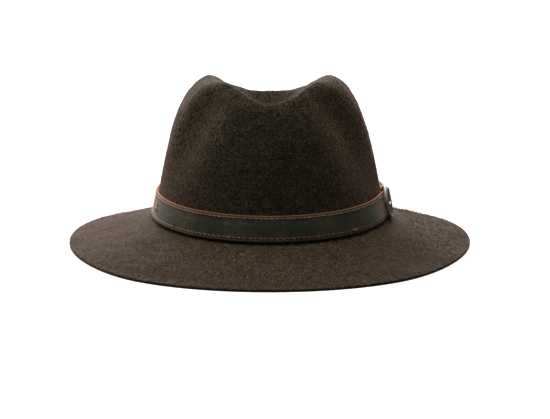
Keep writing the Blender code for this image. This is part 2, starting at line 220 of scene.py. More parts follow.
def skin_rings(shape: bmesh.types.BMesh, rings: list[list[bmesh.types.BMVert]], closed: bool) -> None:
    """Join each ring of vertices to the next, and cap the ends of an open run.

    Args:
        shape: The bmesh that owns the vertices.
        rings: Rings of the same number of vertices.
        closed: Whether the last ring joins the first.
    """
    count = len(rings[0])
    followers = rings[1:] + rings[:1] if closed else rings[1:]
    for near, far in zip(rings, followers):
        for j in range(count):
            k = (j + 1) % count
            shape.faces.new((near[j], near[k], far[k], far[j]))
    if not closed:
        shape.faces.new(reversed(rings[0]))
        shape.faces.new(rings[-1])
    bmesh.ops.recalc_face_normals(shape, faces=shape.faces)


def settle(thing: bpy.types.Object) -> bpy.types.Object:
    """Apply an object's modifiers and take them off it.

    Args:
        thing: The object.

    Returns:
        The same object with a plain mesh.
    """
    graph = bpy.context.evaluated_depsgraph_get()
    mesh = bpy.data.meshes.new_from_object(thing.evaluated_get(graph), depsgraph=graph)
    thing.modifiers.clear()
    thing.data = mesh
    return thing


class Joining(Enum):
    """What a closed shape does to the object that it meets."""

    CUTS = "DIFFERENCE"
    ADDS = "UNION"


def combine(target: bpy.types.Object, shapes: Sequence[bpy.types.Object],
            joining: Joining) -> bpy.types.Object:
    """Cut closed shapes from an object or add them to it, and remove them.

    Args:
        target: The object that is changed.
        shapes: The closed shapes.
        joining: Whether they are cut from it or added.

    Returns:
        The target with a plain mesh.
    """
    for shape in shapes:
        modifier = target.modifiers.new(shape.name, "BOOLEAN")
        modifier.operation = joining.value
        modifier.solver = "EXACT"
        modifier.object = shape
    settle(target)
    for shape in shapes:
        bpy.data.objects.remove(shape)
    return target


def hand_in(thing: bpy.types.Object, slot: str, *nodes: str) -> None:
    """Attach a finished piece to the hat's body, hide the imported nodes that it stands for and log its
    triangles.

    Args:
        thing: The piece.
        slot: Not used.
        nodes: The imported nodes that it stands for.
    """
    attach(thing, BODY)
    if nodes:
        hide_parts(*nodes)
    LOG.info("%s: %d triangles", thing.name, sum(len(face.vertices) - 2 for face in thing.data.polygons))


# Wiring of shader and geometry trees


class Wiring:
    """Adds nodes to one node tree and joins them."""

    def __init__(self, tree: bpy.types.NodeTree) -> None:
        """Keep the tree.

        Args:
            tree: A shader or geometry node tree.
        """
        self.tree = tree

    def add(self, kind: str, inputs: Optional[dict[Any, Any]] = None, **settings: Any) -> bpy.types.Node:
        """Add a node.

        Args:
            kind: The node's type name.
            inputs: Values or sockets for its inputs, by name or number.
            settings: Properties of the node.

        Returns:
            The node.
        """
        node = self.tree.nodes.new(kind)
        for name, value in settings.items():
            setattr(node, name, value)
        for key, value in (inputs or {}).items():
            self.put(node.inputs[key], value)
        return node

    def put(self, socket: bpy.types.NodeSocket, value: Any) -> None:
        """Join a socket to an input, or set the input's value.

        Args:
            socket: The input.
            value: An output socket or a plain value.
        """
        if isinstance(value, bpy.types.NodeSocket):
            self.tree.links.new(value, socket)
        else:
            socket.default_value = value

    def math(self, operation: str, *values: Any, clamp: bool = False) -> bpy.types.NodeSocket:
        """Add a Math node.

        Args:
            operation: Its operation.
            values: Its inputs in order.
            clamp: Whether the result is held between 0 and 1.

        Returns:
            The result.
        """
        kind = "ShaderNodeMath"
        node = self.add(kind, dict(enumerate(values)), operation=operation, use_clamp=clamp)
        return node.outputs[0]

    def mix(self, share: Any, low: Any, high: Any, blend: str = "MIX") -> bpy.types.NodeSocket:
        """Mix two colours.

        Args:
            share: How much of the second one is taken.
            low: The first colour.
            high: The second colour.
            blend: How they are mixed.

        Returns:
            The mixed colour.
        """
        node = self.add("ShaderNodeMix", {0: share, 6: low, 7: high}, data_type="RGBA", blend_type=blend)
        return node.outputs[2]

    def span(self, value: Any, low: float, high: float, smooth: bool = False) -> bpy.types.NodeSocket:
        """Map a span of values to the one from 0 to 1, held at its ends.

        Args:
            value: The value.
            low: Where the span starts.
            high: Where the span ends.
            smooth: Whether the ends are eased.

        Returns:
            The mapped value.
        """
        kind = "SMOOTHSTEP" if smooth else "LINEAR"
        values = {0: value, 1: low, 2: high}
        return self.add("ShaderNodeMapRange", values, interpolation_type=kind).outputs[0]

    def noise(self, vector: Any, scale: Any, detail: float = 2.0, roughness: float = 0.5,
              distortion: float = 0.0) -> bpy.types.NodeSocket:
        """Add a Noise Texture.

        Args:
            vector: Where it is read.
            scale: Its scale.
            detail: Its number of finer layers.
            roughness: The weight of the finer layers.
            distortion: How much it is warped.

        Returns:
            Its value.
        """
        values = {"Vector": vector, "Scale": scale, "Detail": detail, "Roughness": roughness,
                  "Distortion": distortion}
        return self.add("ShaderNodeTexNoise", values).outputs["Fac"]

    def random(self, low: Any, high: Any, seed: bpy.types.NodeSocket,
               later: float = 0.0) -> bpy.types.NodeSocket:
        """Draw a random number for each place.

        Args:
            low: The least number.
            high: The greatest number.
            seed: The seed.
            later: What is added to the seed, so that draws from one seed differ.

        Returns:
            The number.
        """
        drawn_from = self.math("ADD", seed, later) if later else seed
        values = {2: low, 3: high, "Seed": drawn_from}
        return self.add("FunctionNodeRandomValue", values, data_type="FLOAT").outputs[1]


def linear(red: int, green: int, blue: int) -> Colour:
    """Turn a screen colour into the linear one that shaders use.

    Args:
        red: Red from 0 to 255.
        green: Green from 0 to 255.
        blue: Blue from 0 to 255.

    Returns:
        The linear colour.
    """
    shares = (value / 255 for value in (red, green, blue))
    return tuple(s / 12.92 if s <= 0.04045 else ((s + 0.055) / 1.055) ** 2.4 for s in shares)


def opaque(colour: Colour) -> tuple[float, float, float, float]:
    """Give a colour its alpha of one."""
    return (*colour, 1.0)


def new_group(name: str, inputs: dict[str, tuple[str, Any]], outputs: dict[str, str]) -> tuple[
        bpy.types.NodeTree, Wiring, dict[str, bpy.types.NodeSocket], bpy.types.Node]:
    """Make an empty shader node group.

    Args:
        name: The group's name.
        inputs: Socket type and first value of each input.
        outputs: Socket type of each output.

    Returns:
        The group, its wiring, its inputs by name, and its output node.
    """
    group = bpy.data.node_groups.new(name, "ShaderNodeTree")
    for title, (kind, value) in inputs.items():
        socket = group.interface.new_socket(title, in_out="INPUT", socket_type=kind)
        if value is not None:
            socket.default_value = value
    for title, kind in outputs.items():
        group.interface.new_socket(title, in_out="OUTPUT", socket_type=kind)
    wiring = Wiring(group)
    source = wiring.add("NodeGroupInput")
    end = wiring.add("NodeGroupOutput")
    return group, wiring, {socket.name: socket for socket in source.outputs if socket.name}, end


def new_growth(name: str, source: str, titles: Sequence[str], result: str) -> tuple[
        bpy.types.NodeTree, Wiring, dict[str, bpy.types.NodeSocket], dict[str, str]]:
    """Make an empty geometry tree whose inputs are a geometry, numbers and a seed.

    Args:
        name: The tree's name.
        source: The name of the geometry that it grows on.
        titles: The names of its numbers.
        result: The name of what it gives.

    Returns:
        The tree, its wiring, its inputs by name, and the identifiers of its numbers and seed.
    """
    tree = bpy.data.node_groups.new(name, "GeometryNodeTree")
    sockets = {}
    face = tree.interface
    face.new_socket(source, in_out="INPUT", socket_type="NodeSocketGeometry")
    for title in titles:
        sockets[title] = face.new_socket(title, in_out="INPUT", socket_type=FLOAT).identifier
    sockets["Seed"] = face.new_socket("Seed", in_out="INPUT", socket_type="NodeSocketInt").identifier
    face.new_socket(result, in_out="OUTPUT", socket_type="NodeSocketGeometry")
    wiring = Wiring(tree)
    source_node = wiring.add("NodeGroupInput")
    return tree, wiring, {socket.name: socket for socket in source_node.outputs if socket.name}, sockets


def grow(thing: bpy.types.Object, tree: bpy.types.NodeTree, values: dict[str, Any]) -> bpy.types.Object:
    """Run a geometry tree on an object and keep the plain mesh that it gives.

    Args:
        thing: The object.
        tree: The tree.
        values: The value of each input, by its socket's identifier.

    Returns:
        The same object with a plain mesh.
    """
    modifier = thing.modifiers.new(tree.name, "NODES")
    modifier.node_group = tree
    for identifier, value in values.items():
        modifier[identifier] = value
    return settle(thing)


class SharedEffects:
    """Node groups that more than one finish uses, each made once."""

    def __init__(self) -> None:
        """Build the groups."""
        self.melange = self.build_melange()
        self.grain = self.build_grain()
        self.wear = self.build_wear()

    @staticmethod
    def build_melange() -> bpy.types.NodeTree:
        """Build the mottle of pressed wool: short crossed fibres over soft clouds.

        Returns:
            The group, which gives a colour and a height.
        """
        group, w, given, end = new_group(
            "wool_melange",
            {"Vector": (VECTOR, None), "Fibre Scale": (FLOAT, 900.0), "Cloud Scale": (FLOAT, 90.0),
             "Dark": (COLOUR, (0.01, 0.01, 0.01, 1)), "Middle": (COLOUR, (0.03, 0.03, 0.03, 1)),
             "Light": (COLOUR, (0.1, 0.1, 0.1, 1)), "Light Share": (FLOAT, 0.5)},
            {"Colour": COLOUR, "Height": FLOAT})
        warp = w.add("ShaderNodeTexNoise", {"Vector": given["Vector"], "Scale": 260.0, "Detail": 1.0})
        bent = w.add("ShaderNodeVectorMath", {0: warp.outputs["Color"], 1: (0.5, 0.5, 0.5)},
                     operation="SUBTRACT").outputs[0]
        pushed = w.add("ShaderNodeVectorMath", {0: bent, 3: 0.0045}, operation="SCALE").outputs[0]
        place = w.add("ShaderNodeVectorMath", {0: given["Vector"], 1: pushed}, operation="ADD").outputs[0]
        streaks = []
        for turn, stretch in (((0.3, 0.5, 0.2), (1.0, 0.22, 0.6)), ((1.1, 2.2, 0.7), (0.24, 1.0, 0.7)),
                              ((2.4, 0.4, 1.9), (0.8, 0.6, 0.2))):
            mapped = w.add("ShaderNodeMapping", {"Vector": place, "Rotation": turn, "Scale": stretch})
            streaks.append(w.noise(mapped.outputs[0], given["Fibre Scale"], 2.0, 0.6))
        longest = w.math("MAXIMUM", w.math("MAXIMUM", streaks[0], streaks[1]), streaks[2])
        fibres = w.span(longest, 0.54, 0.72)
        clouds = w.noise(given["Vector"], given["Cloud Scale"], 3.0, 0.55)
        specks = w.noise(place, w.math("MULTIPLY", given["Fibre Scale"], 0.62), 2.0, 0.6)
        share = w.math("MULTIPLY_ADD", w.math("SUBTRACT", clouds, 0.5), 0.5, given["Light Share"])
        lit = w.math("MULTIPLY", fibres, share, clamp=True)
        base = w.mix(w.span(specks, 0.36, 0.62), given["Dark"], given["Middle"])
        colour = w.mix(lit, base, given["Light"])
        w.put(end.inputs["Colour"], colour)
        w.put(end.inputs["Height"], w.math("MULTIPLY_ADD", fibres, 0.6, specks))
        return group

    @staticmethod
    def build_grain() -> bpy.types.NodeTree:
        """Build leather grain: small cells with pores and soft creases.

        Returns:
            The group, which gives a height and a mask of the hollows.
        """
        group, w, given, end = new_group(
            "leather_grain",
            {"Vector": (VECTOR, None), "Cell Scale": (FLOAT, 1500.0), "Crease Scale": (FLOAT, 260.0)},
            {"Height": FLOAT, "Hollows": FLOAT})
        cells = w.add("ShaderNodeTexVoronoi", {"Vector": given["Vector"], "Scale": given["Cell Scale"]},
                      feature="SMOOTH_F1").outputs["Distance"]
        creases = w.noise(given["Vector"], given["Crease Scale"], 4.0, 0.6, 0.6)
        w.put(end.inputs["Height"], w.math("MULTIPLY_ADD", cells, 0.5, creases))
        w.put(end.inputs["Hollows"], w.span(creases, 0.42, 0.62))
        return group

    @staticmethod
    def build_wear() -> bpy.types.NodeTree:
        """Build wear: a broken mask that is strongest where a given distance is small.

        Returns:
            The group, which gives one mask.
        """
        group, w, given, end = new_group(
            "rubbed_wear",
            {"Vector": (VECTOR, None), "Distance": (FLOAT, 1.0), "Reach": (FLOAT, 0.001),
             "Scale": (FLOAT, 400.0), "Amount": (FLOAT, 1.0)},
            {"Mask": FLOAT})
        near = w.math("SUBTRACT", 1.0, w.math("DIVIDE", given["Distance"], given["Reach"]), clamp=True)
        broken = w.noise(given["Vector"], given["Scale"], 4.0, 0.65)
        lifted = w.math("ADD", near, w.math("MULTIPLY", w.math("SUBTRACT", broken, 0.5), 1.1))
        mask = w.math("MULTIPLY", w.span(lifted, 0.25, 0.85, smooth=True), given["Amount"], clamp=True)
        w.put(end.inputs["Mask"], mask)
        return group


class Dressing:
    """A new material with its wiring, coordinates and Principled shader."""

    def __init__(self, name: str, effects: SharedEffects) -> None:
        """Make the material.

        Args:
            name: The material's name.
            effects: The shared node groups.
        """
        self.material = bpy.data.materials.new(name)
        self.material.use_nodes = True
        self.effects = effects
        self.wiring = Wiring(self.material.node_tree)
        self.shader = self.material.node_tree.nodes["Principled BSDF"]
        self.place = self.wiring.add("ShaderNodeTexCoord").outputs["Object"]

    def group(self, tree: bpy.types.NodeTree, **values: Any) -> bpy.types.Node:
        """Place a shared group.

        Args:
            tree: The group.
            values: Its inputs, with underscores for spaces.

        Returns:
            The group node.
        """
        node = self.wiring.add("ShaderNodeGroup", node_tree=tree)
        for name, value in values.items():
            self.wiring.put(node.inputs[name.replace("_", " ")], value)
        return node

    def attribute(self, name: str) -> bpy.types.NodeSocket:
        """Read a number that the mesh keeps at its points."""
        return self.wiring.add("ShaderNodeAttribute", attribute_name=name).outputs["Fac"]

    def stretched(self, scale: tuple[float, float, float]) -> bpy.types.NodeSocket:
        """Give the place on the object with each of its axes scaled."""
        return self.wiring.add("ShaderNodeMapping", {"Vector": self.place, "Scale": scale}).outputs[0]

    def set(self, **values: Any) -> None:
        """Set or join inputs of the shader, with underscores for spaces."""
        for name, value in values.items():
            self.wiring.put(self.shader.inputs[name.replace("_", " ")], value)

    def bump(self, height: Any, distance: float, strength: float = 1.0) -> None:
        """Raise the surface by a height.

        Args:
            height: The height socket.
            distance: How far a height of one stands out, in metres.
            strength: The bump's strength.
        """
        values = {"Height": height, "Distance": distance, "Strength": strength}
        node = self.wiring.add("ShaderNodeBump", values)
        self.wiring.put(self.shader.inputs["Normal"], node.outputs[0])


# The felt


@dataclass(frozen=True)
class FeltSizes:
    """Sizes of the felt in metres and radians, and the sections that its face runs over."""

    head_width: float = 0.1676
    head_length: float = 0.1990
    thickness: float = 0.0022
    foot_fullness_share: float = 0.016
    brim_side_reach: float = 0.0624
    brim_front_reach: float = 0.0650
    brim_back_reach: float = 0.0610
    brim_drop: float = 0.0172
    brim_side_lift: float = 0.0027
    break_side_lift: float = 0.0020
    brim_fullness_share: float = 0.014
    brim_rest_arc: float = math.radians(36)
    brim_rest_width: float = 0.0026
    crown_rise: float = 0.1053
    front_lip_dip: float = 0.0112
    front_lip_arc: float = math.radians(50)
    back_lip_dip: float = 0.0225
    back_lip_level: float = math.radians(6)
    back_lip_arc: float = math.radians(94)
    crease_depth: float = 0.0280
    pinch_depth: float = 0.0085
    pinch_azimuth: float = math.radians(43)
    pinch_spread: float = math.radians(30)
    pinch_arc: float = math.radians(24)

    # Reach and drop, from the cut edge inwards
    brim_sections: tuple[tuple[float, float], ...] = (
        (1.000, 1.000), (0.920, 0.955), (0.740, 0.785), (0.520, 0.565),
        (0.300, 0.325), (0.110, 0.105), (0.030, 0.025))

    # Width, front, back, rise, lip, crease, pinch, from the crown's foot to its crease
    crown_sections: tuple[tuple[float, ...], ...] = (
        (0.994, 0.994, 0.994, 0.010, 0.00, 0.00, 0.00),
        (0.980, 0.981, 0.981, 0.060, 0.00, 0.00, 0.00),
        (0.953, 0.955, 0.958, 0.200, 0.00, 0.00, 0.05),
        (0.900, 0.908, 0.922, 0.430, 0.10, 0.00, 0.40),
        (0.836, 0.866, 0.886, 0.650, 0.40, 0.00, 1.00),
        (0.754, 0.822, 0.850, 0.830, 0.72, 0.00, 1.05),
        (0.652, 0.780, 0.815, 0.955, 0.95, 0.00, 0.60),
        (0.538, 0.742, 0.775, 1.028, 1.02, 0.00, 0.18),
        (0.425, 0.685, 0.715, 1.020, 1.00, 0.06, 0.00),
        (0.300, 0.600, 0.635, 0.985, 0.75, 0.45, 0.00),
        (0.150, 0.520, 0.555, 0.980, 0.42, 0.88, 0.00),
        (0.000, 0.490, 0.525, 0.980, 0.30, 1.00, 0.00))

    @property
    def foot_half_width(self) -> float:
        """Half the crown's outer width at its foot."""
        return self.head_width / 2 + self.thickness

    @property
    def foot_half_length(self) -> float:
        """Half the crown's outer length at its foot."""
        return self.head_length / 2 + self.thickness

    @property
    def break_low(self) -> float:
        """The height of the line between crown and brim in front and behind."""
        return self.brim_drop + self.thickness

    @property
    def last(self) -> int:
        """The surface position of the crease line."""
        return len(self.brim_sections) + len(self.crown_sections) - 1

    @property
    def foot(self) -> int:
        """The surface position of the brim's last section."""
        return len(self.brim_sections) - 1


class FeltSurface:
    """The outer face of the felt as a smooth surface over the sections."""

    def __init__(self, sizes: FeltSizes) -> None:
        """Keep the sizes.

        Args:
            sizes: The felt's sizes.
        """
        self.sizes = sizes

    @staticmethod
    def oval(half_width: float, front: float, back: float, fullness: float, turns: np.ndarray) -> np.ndarray:
        """Give points in plan on an oval that is fuller than an ellipse at its shoulders.

        Args:
            half_width: Its reach to either side.
            front: Its reach to the front.
            back: Its reach to the back.
            fullness: How much fuller it is, as a share.
            turns: Angles round the hat.

        Returns:
            The points.
        """
        swell = 1.0 + fullness * np.sin(2 * turns) ** 2
        reach = np.where(np.sin(turns) < 0, front, back)
        return np.stack([half_width * np.cos(turns) * swell, reach * np.sin(turns) * swell], axis=-1)

    def edge_lift(self, turns: np.ndarray) -> np.ndarray:
        """Give the height of the brim's edge over the ground at each turn."""
        resting = math.sin(self.sizes.brim_rest_arc) ** 2
        return self.sizes.brim_side_lift * smooth_share((np.cos(turns) ** 2 - resting) / (1.0 - resting))

    def break_height(self, turns: np.ndarray) -> np.ndarray:
        """Give the height of the line where the brim leaves the crown at each turn."""
        return self.sizes.break_low + self.sizes.break_side_lift * np.cos(turns) ** 2

    def brim_ring(self, section: tuple[float, float], turns: np.ndarray) -> np.ndarray:
        """Give one control ring of the brim.

        Args:
            section: Its reach and drop.
            turns: Angles round the hat.

        Returns:
            The ring's points.
        """
        s = self.sizes
        reach, drop = section
        foot = self.oval(s.foot_half_width, s.foot_half_length, s.foot_half_length,
                         s.foot_fullness_share, turns)
        edge = self.oval(s.foot_half_width + s.brim_side_reach, s.foot_half_length + s.brim_front_reach,
                         s.foot_half_length + s.brim_back_reach, s.brim_fullness_share, turns)
        plan = foot + reach * (edge - foot)
        edge_height = s.thickness + self.edge_lift(turns)
        height = self.break_height(turns) + drop * (edge_height - self.break_height(turns))
        return np.column_stack([plan, height])

    def crown_ring(self, section: Sequence[float], turns: np.ndarray) -> np.ndarray:
        """Give one control ring of the crown with its share of lips, crease and pinches.

        Args:
            section: Width, front, back, rise, lip, crease and pinch.
            turns: Angles round the hat.

        Returns:
            The ring's points.
        """
        s = self.sizes
        width, front, back, rise, lip, crease, pinch = section
        plan = self.oval(s.foot_half_width * width, s.foot_half_length * front, s.foot_half_length * back,
                         s.foot_fullness_share * (1.0 - rise), turns)
        from_front = turned_difference(turns, -QUARTER_TURN)
        from_back = np.abs(turned_difference(turns, QUARTER_TURN))
        back_share = 1.0 - smooth_share((from_back - s.back_lip_level) / (s.back_lip_arc - s.back_lip_level))
        dips = s.front_lip_dip * bell(from_front, s.front_lip_arc) + s.back_lip_dip * back_share
        foot_height = self.break_height(turns) + rise * (s.break_low - self.break_height(turns))
        height = foot_height + s.crown_rise * rise - lip * dips - crease * s.crease_depth
        pinch_centre = s.pinch_azimuth + s.pinch_spread * (1.0 - rise)
        pinched = pinch * s.pinch_depth * bell(np.abs(from_front) - pinch_centre, s.pinch_arc)
        inwards = -plan / np.linalg.norm(plan, axis=-1, keepdims=True).clip(1e-9)
        return np.column_stack([plan + inwards * pinched[:, None], height])

    def rows(self, turns: np.ndarray, positions: np.ndarray) -> np.ndarray:
        """Give rows of points on the surface.

        Args:
            turns: Angles round the hat, one for each column.
            positions: Surface positions, from 0 at the cut edge to the crease line.

        Returns:
            Points by row and column.
        """
        s = self.sizes
        rings = [self.brim_ring(section, turns) for section in s.brim_sections]
        rings += [self.crown_ring(section, turns) for section in s.crown_sections]
        before = 2 * rings[0] - rings[1]
        after = rings[-2] * (-1.0, 1.0, 1.0)
        setback = (s.brim_front_reach - s.brim_back_reach) / 2
        control = np.stack([before, *rings, after]) + (0.0, setback, 0.0)
        first = np.minimum(positions.astype(int), len(rings) - 2)
        share = (positions - first)[:, None, None]
        weights = ((1 - share) ** 3, 3 * share**3 - 6 * share**2 + 4,
                   -3 * share**3 + 3 * share**2 + 3 * share + 1, share**3)
        return sum(weight * control[first + k] for k, weight in enumerate(weights)) / 6


@dataclass(frozen=True)
class FeltFinish:
    """Mottled brown wool felt, uneven in colour and dry, with a light nap at a grazing angle."""

    name: str = "mottled_wool_felt"
    dark: Colour = linear(14, 17, 10)
    middle: Colour = linear(34, 36, 25)
    light: Colour = linear(122, 96, 80)
    light_share: float = 0.46
    fibre_scale: float = 1150.0
    cloud_scale: float = 75.0
    lay_stretch: float = 1.7
    fibre_height: float = 0.0004
    edge_shade: float = 0.18
    roughness: float = 0.96
    nap: float = 0.42
    nap_roughness: float = 0.15
    nap_colour: Colour = linear(221, 158, 130)

    # Painted light: the crown is tinted towards the olive of its shaded felt and the brim towards the
    # pinkish colour of its sheen, one giving way to the other between the two heights
    crown_shade_tint: Colour = (0.98, 1.02, 0.95)
    brim_sheen_tint: Colour = (1.14, 0.96, 0.89)
    shade_sheen_heights: tuple[float, float] = (0.032, 0.018)

    def material(self, effects: SharedEffects) -> bpy.types.Material:
        """Make the material.

        Args:
            effects: The shared node groups.

        Returns:
            The material.
        """
        dress = Dressing(self.name, effects)
        w = dress.wiring
        lay = dress.stretched((1.0, 1.0, self.lay_stretch))
        wool = dress.group(effects.melange, Vector=lay, Fibre_Scale=self.fibre_scale,
                           Cloud_Scale=self.cloud_scale, Dark=opaque(self.dark), Middle=opaque(self.middle),
                           Light=opaque(self.light), Light_Share=self.light_share)
        height = w.add("ShaderNodeSeparateXYZ", {0: dress.place}).outputs["Z"]
        # Painted light: tint the crown olive like its shaded felt and the brim pinkish like its sheen
        tone = w.mix(w.span(height, *self.shade_sheen_heights), opaque(self.crown_shade_tint), opaque(self.brim_sheen_tint))
        colour = w.mix(1.0, wool.outputs["Colour"], tone, "MULTIPLY")
        # Painted shade: the cut edge and the rows beside it are darkened towards the dark wool colour
        edge = dress.attribute("cut_edge")
        shaded = w.mix(w.math("MULTIPLY", edge, self.edge_shade), colour, opaque(self.dark))
        dress.set(Base_Color=shaded, Roughness=self.roughness, Specular_IOR_Level=0.06,
                  Sheen_Weight=self.nap, Sheen_Roughness=self.nap_roughness,
                  Sheen_Tint=opaque(self.nap_colour))
        dress.bump(wool.outputs["Height"], self.fibre_height)
        return dress.material


@dataclass(frozen=True)
class FibreFinish:
    """Loose wool hairs, each of one shade between dark brown and a pinkish beige."""

    name: str = "loose_wool_hairs"
    dark: Colour = linear(22, 21, 15)
    light: Colour = linear(124, 107, 86)
    roughness: float = 0.8

    def material(self, effects: SharedEffects) -> bpy.types.Material:
        """Make the material.

        Args:
            effects: The shared node groups.

        Returns:
            The material.
        """
        dress = Dressing(self.name, effects)
        w = dress.wiring
        shade = dress.attribute("hair_shade")
        mottle = w.math("MULTIPLY_ADD", w.noise(dress.place, 900.0, 1.0, 0.5), 0.3, -0.15)
        tone = w.mix(w.math("POWER", w.math("ADD", shade, mottle, clamp=True), 1.8),
                     opaque(self.dark), opaque(self.light))
        dress.set(Base_Color=tone, Roughness=self.roughness, Specular_IOR_Level=0.2, Sheen_Weight=0.15)
        return dress.material


@dataclass
class FeltBody:
    """Crown and brim in one piece of felt, with the softness of a shape blocked by hand."""

    surface: FeltSurface
    finish: FeltFinish
    columns: int = 312
    outer_rows: int = 160
    brim_rows_share: float = 0.34
    wave: float = 0.00042
    wave_spacing: float = 0.045
    lump: float = 0.00016
    lump_spacing: float = 0.013
    edge_round: float = 0.0011
    under_inset: float = 0.0009
    edge_positions: tuple[float, ...] = (0.0, 0.020, 0.055, 0.105, 0.165, 0.235)
    under_round: tuple[tuple[float, float], ...] = ((0.00034, 0.05), (0.00010, 0.22), (0.0, 0.38))
    seed: int = 11
    points: np.ndarray = field(init=False, repr=False)

    def joined(self, row: int, rows: int, column: int) -> int:
        """Give the number of an outer vertex, where the two sides meet along the crease.

        Args:
            row: The vertex's row.
            rows: How many rows there are.
            column: The vertex's column.

        Returns:
            The vertex number.
        """
        here = column % self.columns
        if row == rows - 1:
            here = min(here, (self.columns // 2 - here) % self.columns)
        return row * self.columns + here

    def grid_faces(self, rows: int, first: int, inwards: bool) -> list[tuple[int, ...]]:
        """List the faces between the rows of a grid.

        Args:
            rows: How many rows there are.
            first: The number of the grid's first vertex.
            inwards: Whether the faces point into the hat.

        Returns:
            The faces.
        """
        faces = []
        for row in range(rows - 1):
            for j in range(self.columns):
                corners = [self.joined(row, rows, j), self.joined(row, rows, j + 1),
                           self.joined(row + 1, rows, j + 1), self.joined(row + 1, rows, j)]
                corners = [first + corner for corner in corners]
                faces.append(tuple(reversed(corners)) if inwards else tuple(corners))
        return faces

    def normals_of(self, points: np.ndarray) -> np.ndarray:
        """Find the outward direction at each point of a grid.

        Args:
            points: Points by row and column.

        Returns:
            Unit normals by row and column.
        """
        mirrored = np.roll(points[-2][::-1], self.columns // 2 + 1, axis=0)
        longer = np.concatenate([points, mirrored[None]])
        up = np.gradient(longer, axis=0)[:-1]
        round_it = np.roll(points, -1, axis=1) - np.roll(points, 1, axis=1)
        return unit(np.cross(round_it, up))

    def swell(self, points: np.ndarray, positions: np.ndarray) -> np.ndarray:
        """Find how far each point moves outwards, nothing under the band and where the brim rests.

        Args:
            points: Points by row and column.
            positions: The surface position of each row.

        Returns:
            Moves in metres by row and column.
        """
        sizes = self.surface.sizes
        broad = SoftNoise(self.seed, self.wave_spacing).at(points)
        close = SoftNoise(self.seed + 1, self.lump_spacing).at(points)
        on_crown = smooth_share((positions - sizes.foot - 4.2) / 1.5)
        on_brim = smooth_share((sizes.foot - 0.8 - positions) / 2.0) * smooth_share(positions / 1.2)
        held = (on_crown + on_brim)[:, None]
        return held * (self.wave * broad + self.lump * close)

    def build(self) -> bpy.types.Object:
        """Make the mesh: the outer face, a softly rounded cut edge and the inner face.

        Returns:
            The object.
        """
        sizes = self.surface.sizes
        columns = self.columns
        turns = np.arange(columns) * (FULL_TURN / columns)
        brim_rows = round(self.outer_rows * self.brim_rows_share)
        edge = np.array(self.edge_positions)
        positions = np.concatenate([
            edge, np.linspace(edge[-1], sizes.foot, brim_rows, endpoint=False)[1:],
            np.linspace(sizes.foot, sizes.last, self.outer_rows - brim_rows)])
        points = self.surface.rows(turns, positions)
        points[-1][:, 0] = 0.0
        points = points + self.normals_of(points) * self.swell(points, positions)[..., None]
        points[-1][:, 0] = 0.0
        normals = self.normals_of(points)
        self.points = points

        kept = [row for row in range(len(points)) if row >= len(edge) and (row - len(edge)) % 2 == 0]
        kept[-1] = len(points) - 1
        inner = np.concatenate([np.zeros((2, columns, 3)), (points - normals * sizes.thickness)[kept]])
        lift = self.surface.edge_lift(turns)
        outwards = unit(points[0] * (1.0, 1.0, 0.0))
        for row, inset in enumerate((self.under_inset, self.under_inset + sizes.brim_rest_width)):
            inner[row] = points[0] - outwards * inset
            inner[row][:, 2] = lift
        rim = []
        for inset, height in self.under_round:
            ring = points[0] - outwards * inset
            ring[:, 2] = lift + sizes.thickness * height
            rim.append(ring)
        for row in range(len(edge)):
            from_edge = np.linalg.norm(points[row] - points[0], axis=1)
            into = np.clip(self.edge_round - from_edge, 0.0, self.edge_round)
            points[row][:, 2] -= self.edge_round - np.sqrt(self.edge_round**2 - into**2)

        all_points = np.concatenate([points.reshape(-1, 3), *rim, inner.reshape(-1, 3)])
        rows = len(points)
        faces = self.grid_faces(rows, 0, False)
        rim_start = rows * columns
        inner_start = rim_start + len(rim) * columns
        faces += self.grid_faces(len(inner), inner_start, True)
        chain = [inner_start] + [rim_start + k * columns for k in range(len(rim))] + [0]
        for low, high in zip(chain, chain[1:]):
            for j in range(columns):
                k = (j + 1) % columns
                faces.append((low + j, low + k, high + k, high + j))
        thing = object_from("felt_hat", all_points, faces)
        # Painted shade on the cut edge: full on its rounded rim, less on the first inner and outer rows
        cut_edge = np.zeros(len(all_points))
        cut_edge[rim_start:inner_start] = 1.0
        cut_edge[:columns] = 0.5
        cut_edge[inner_start:inner_start + columns] = 0.8
        layer = thing.data.attributes.new("cut_edge", "FLOAT", "POINT")
        layer.data.foreach_set("value", cut_edge)
        drop_loose(thing.data)
        return thing

    def dress(self, thing: bpy.types.Object, effects: SharedEffects) -> None:
        """Give the felt its material, attach it to the hat's body and hide the imported felt node.

        Args:
            thing: The felt.
            effects: The shared node groups.
        """
        thing.data.materials.append(self.finish.material(effects))
        hand_in(thing, "brown_felt", "felt_body")


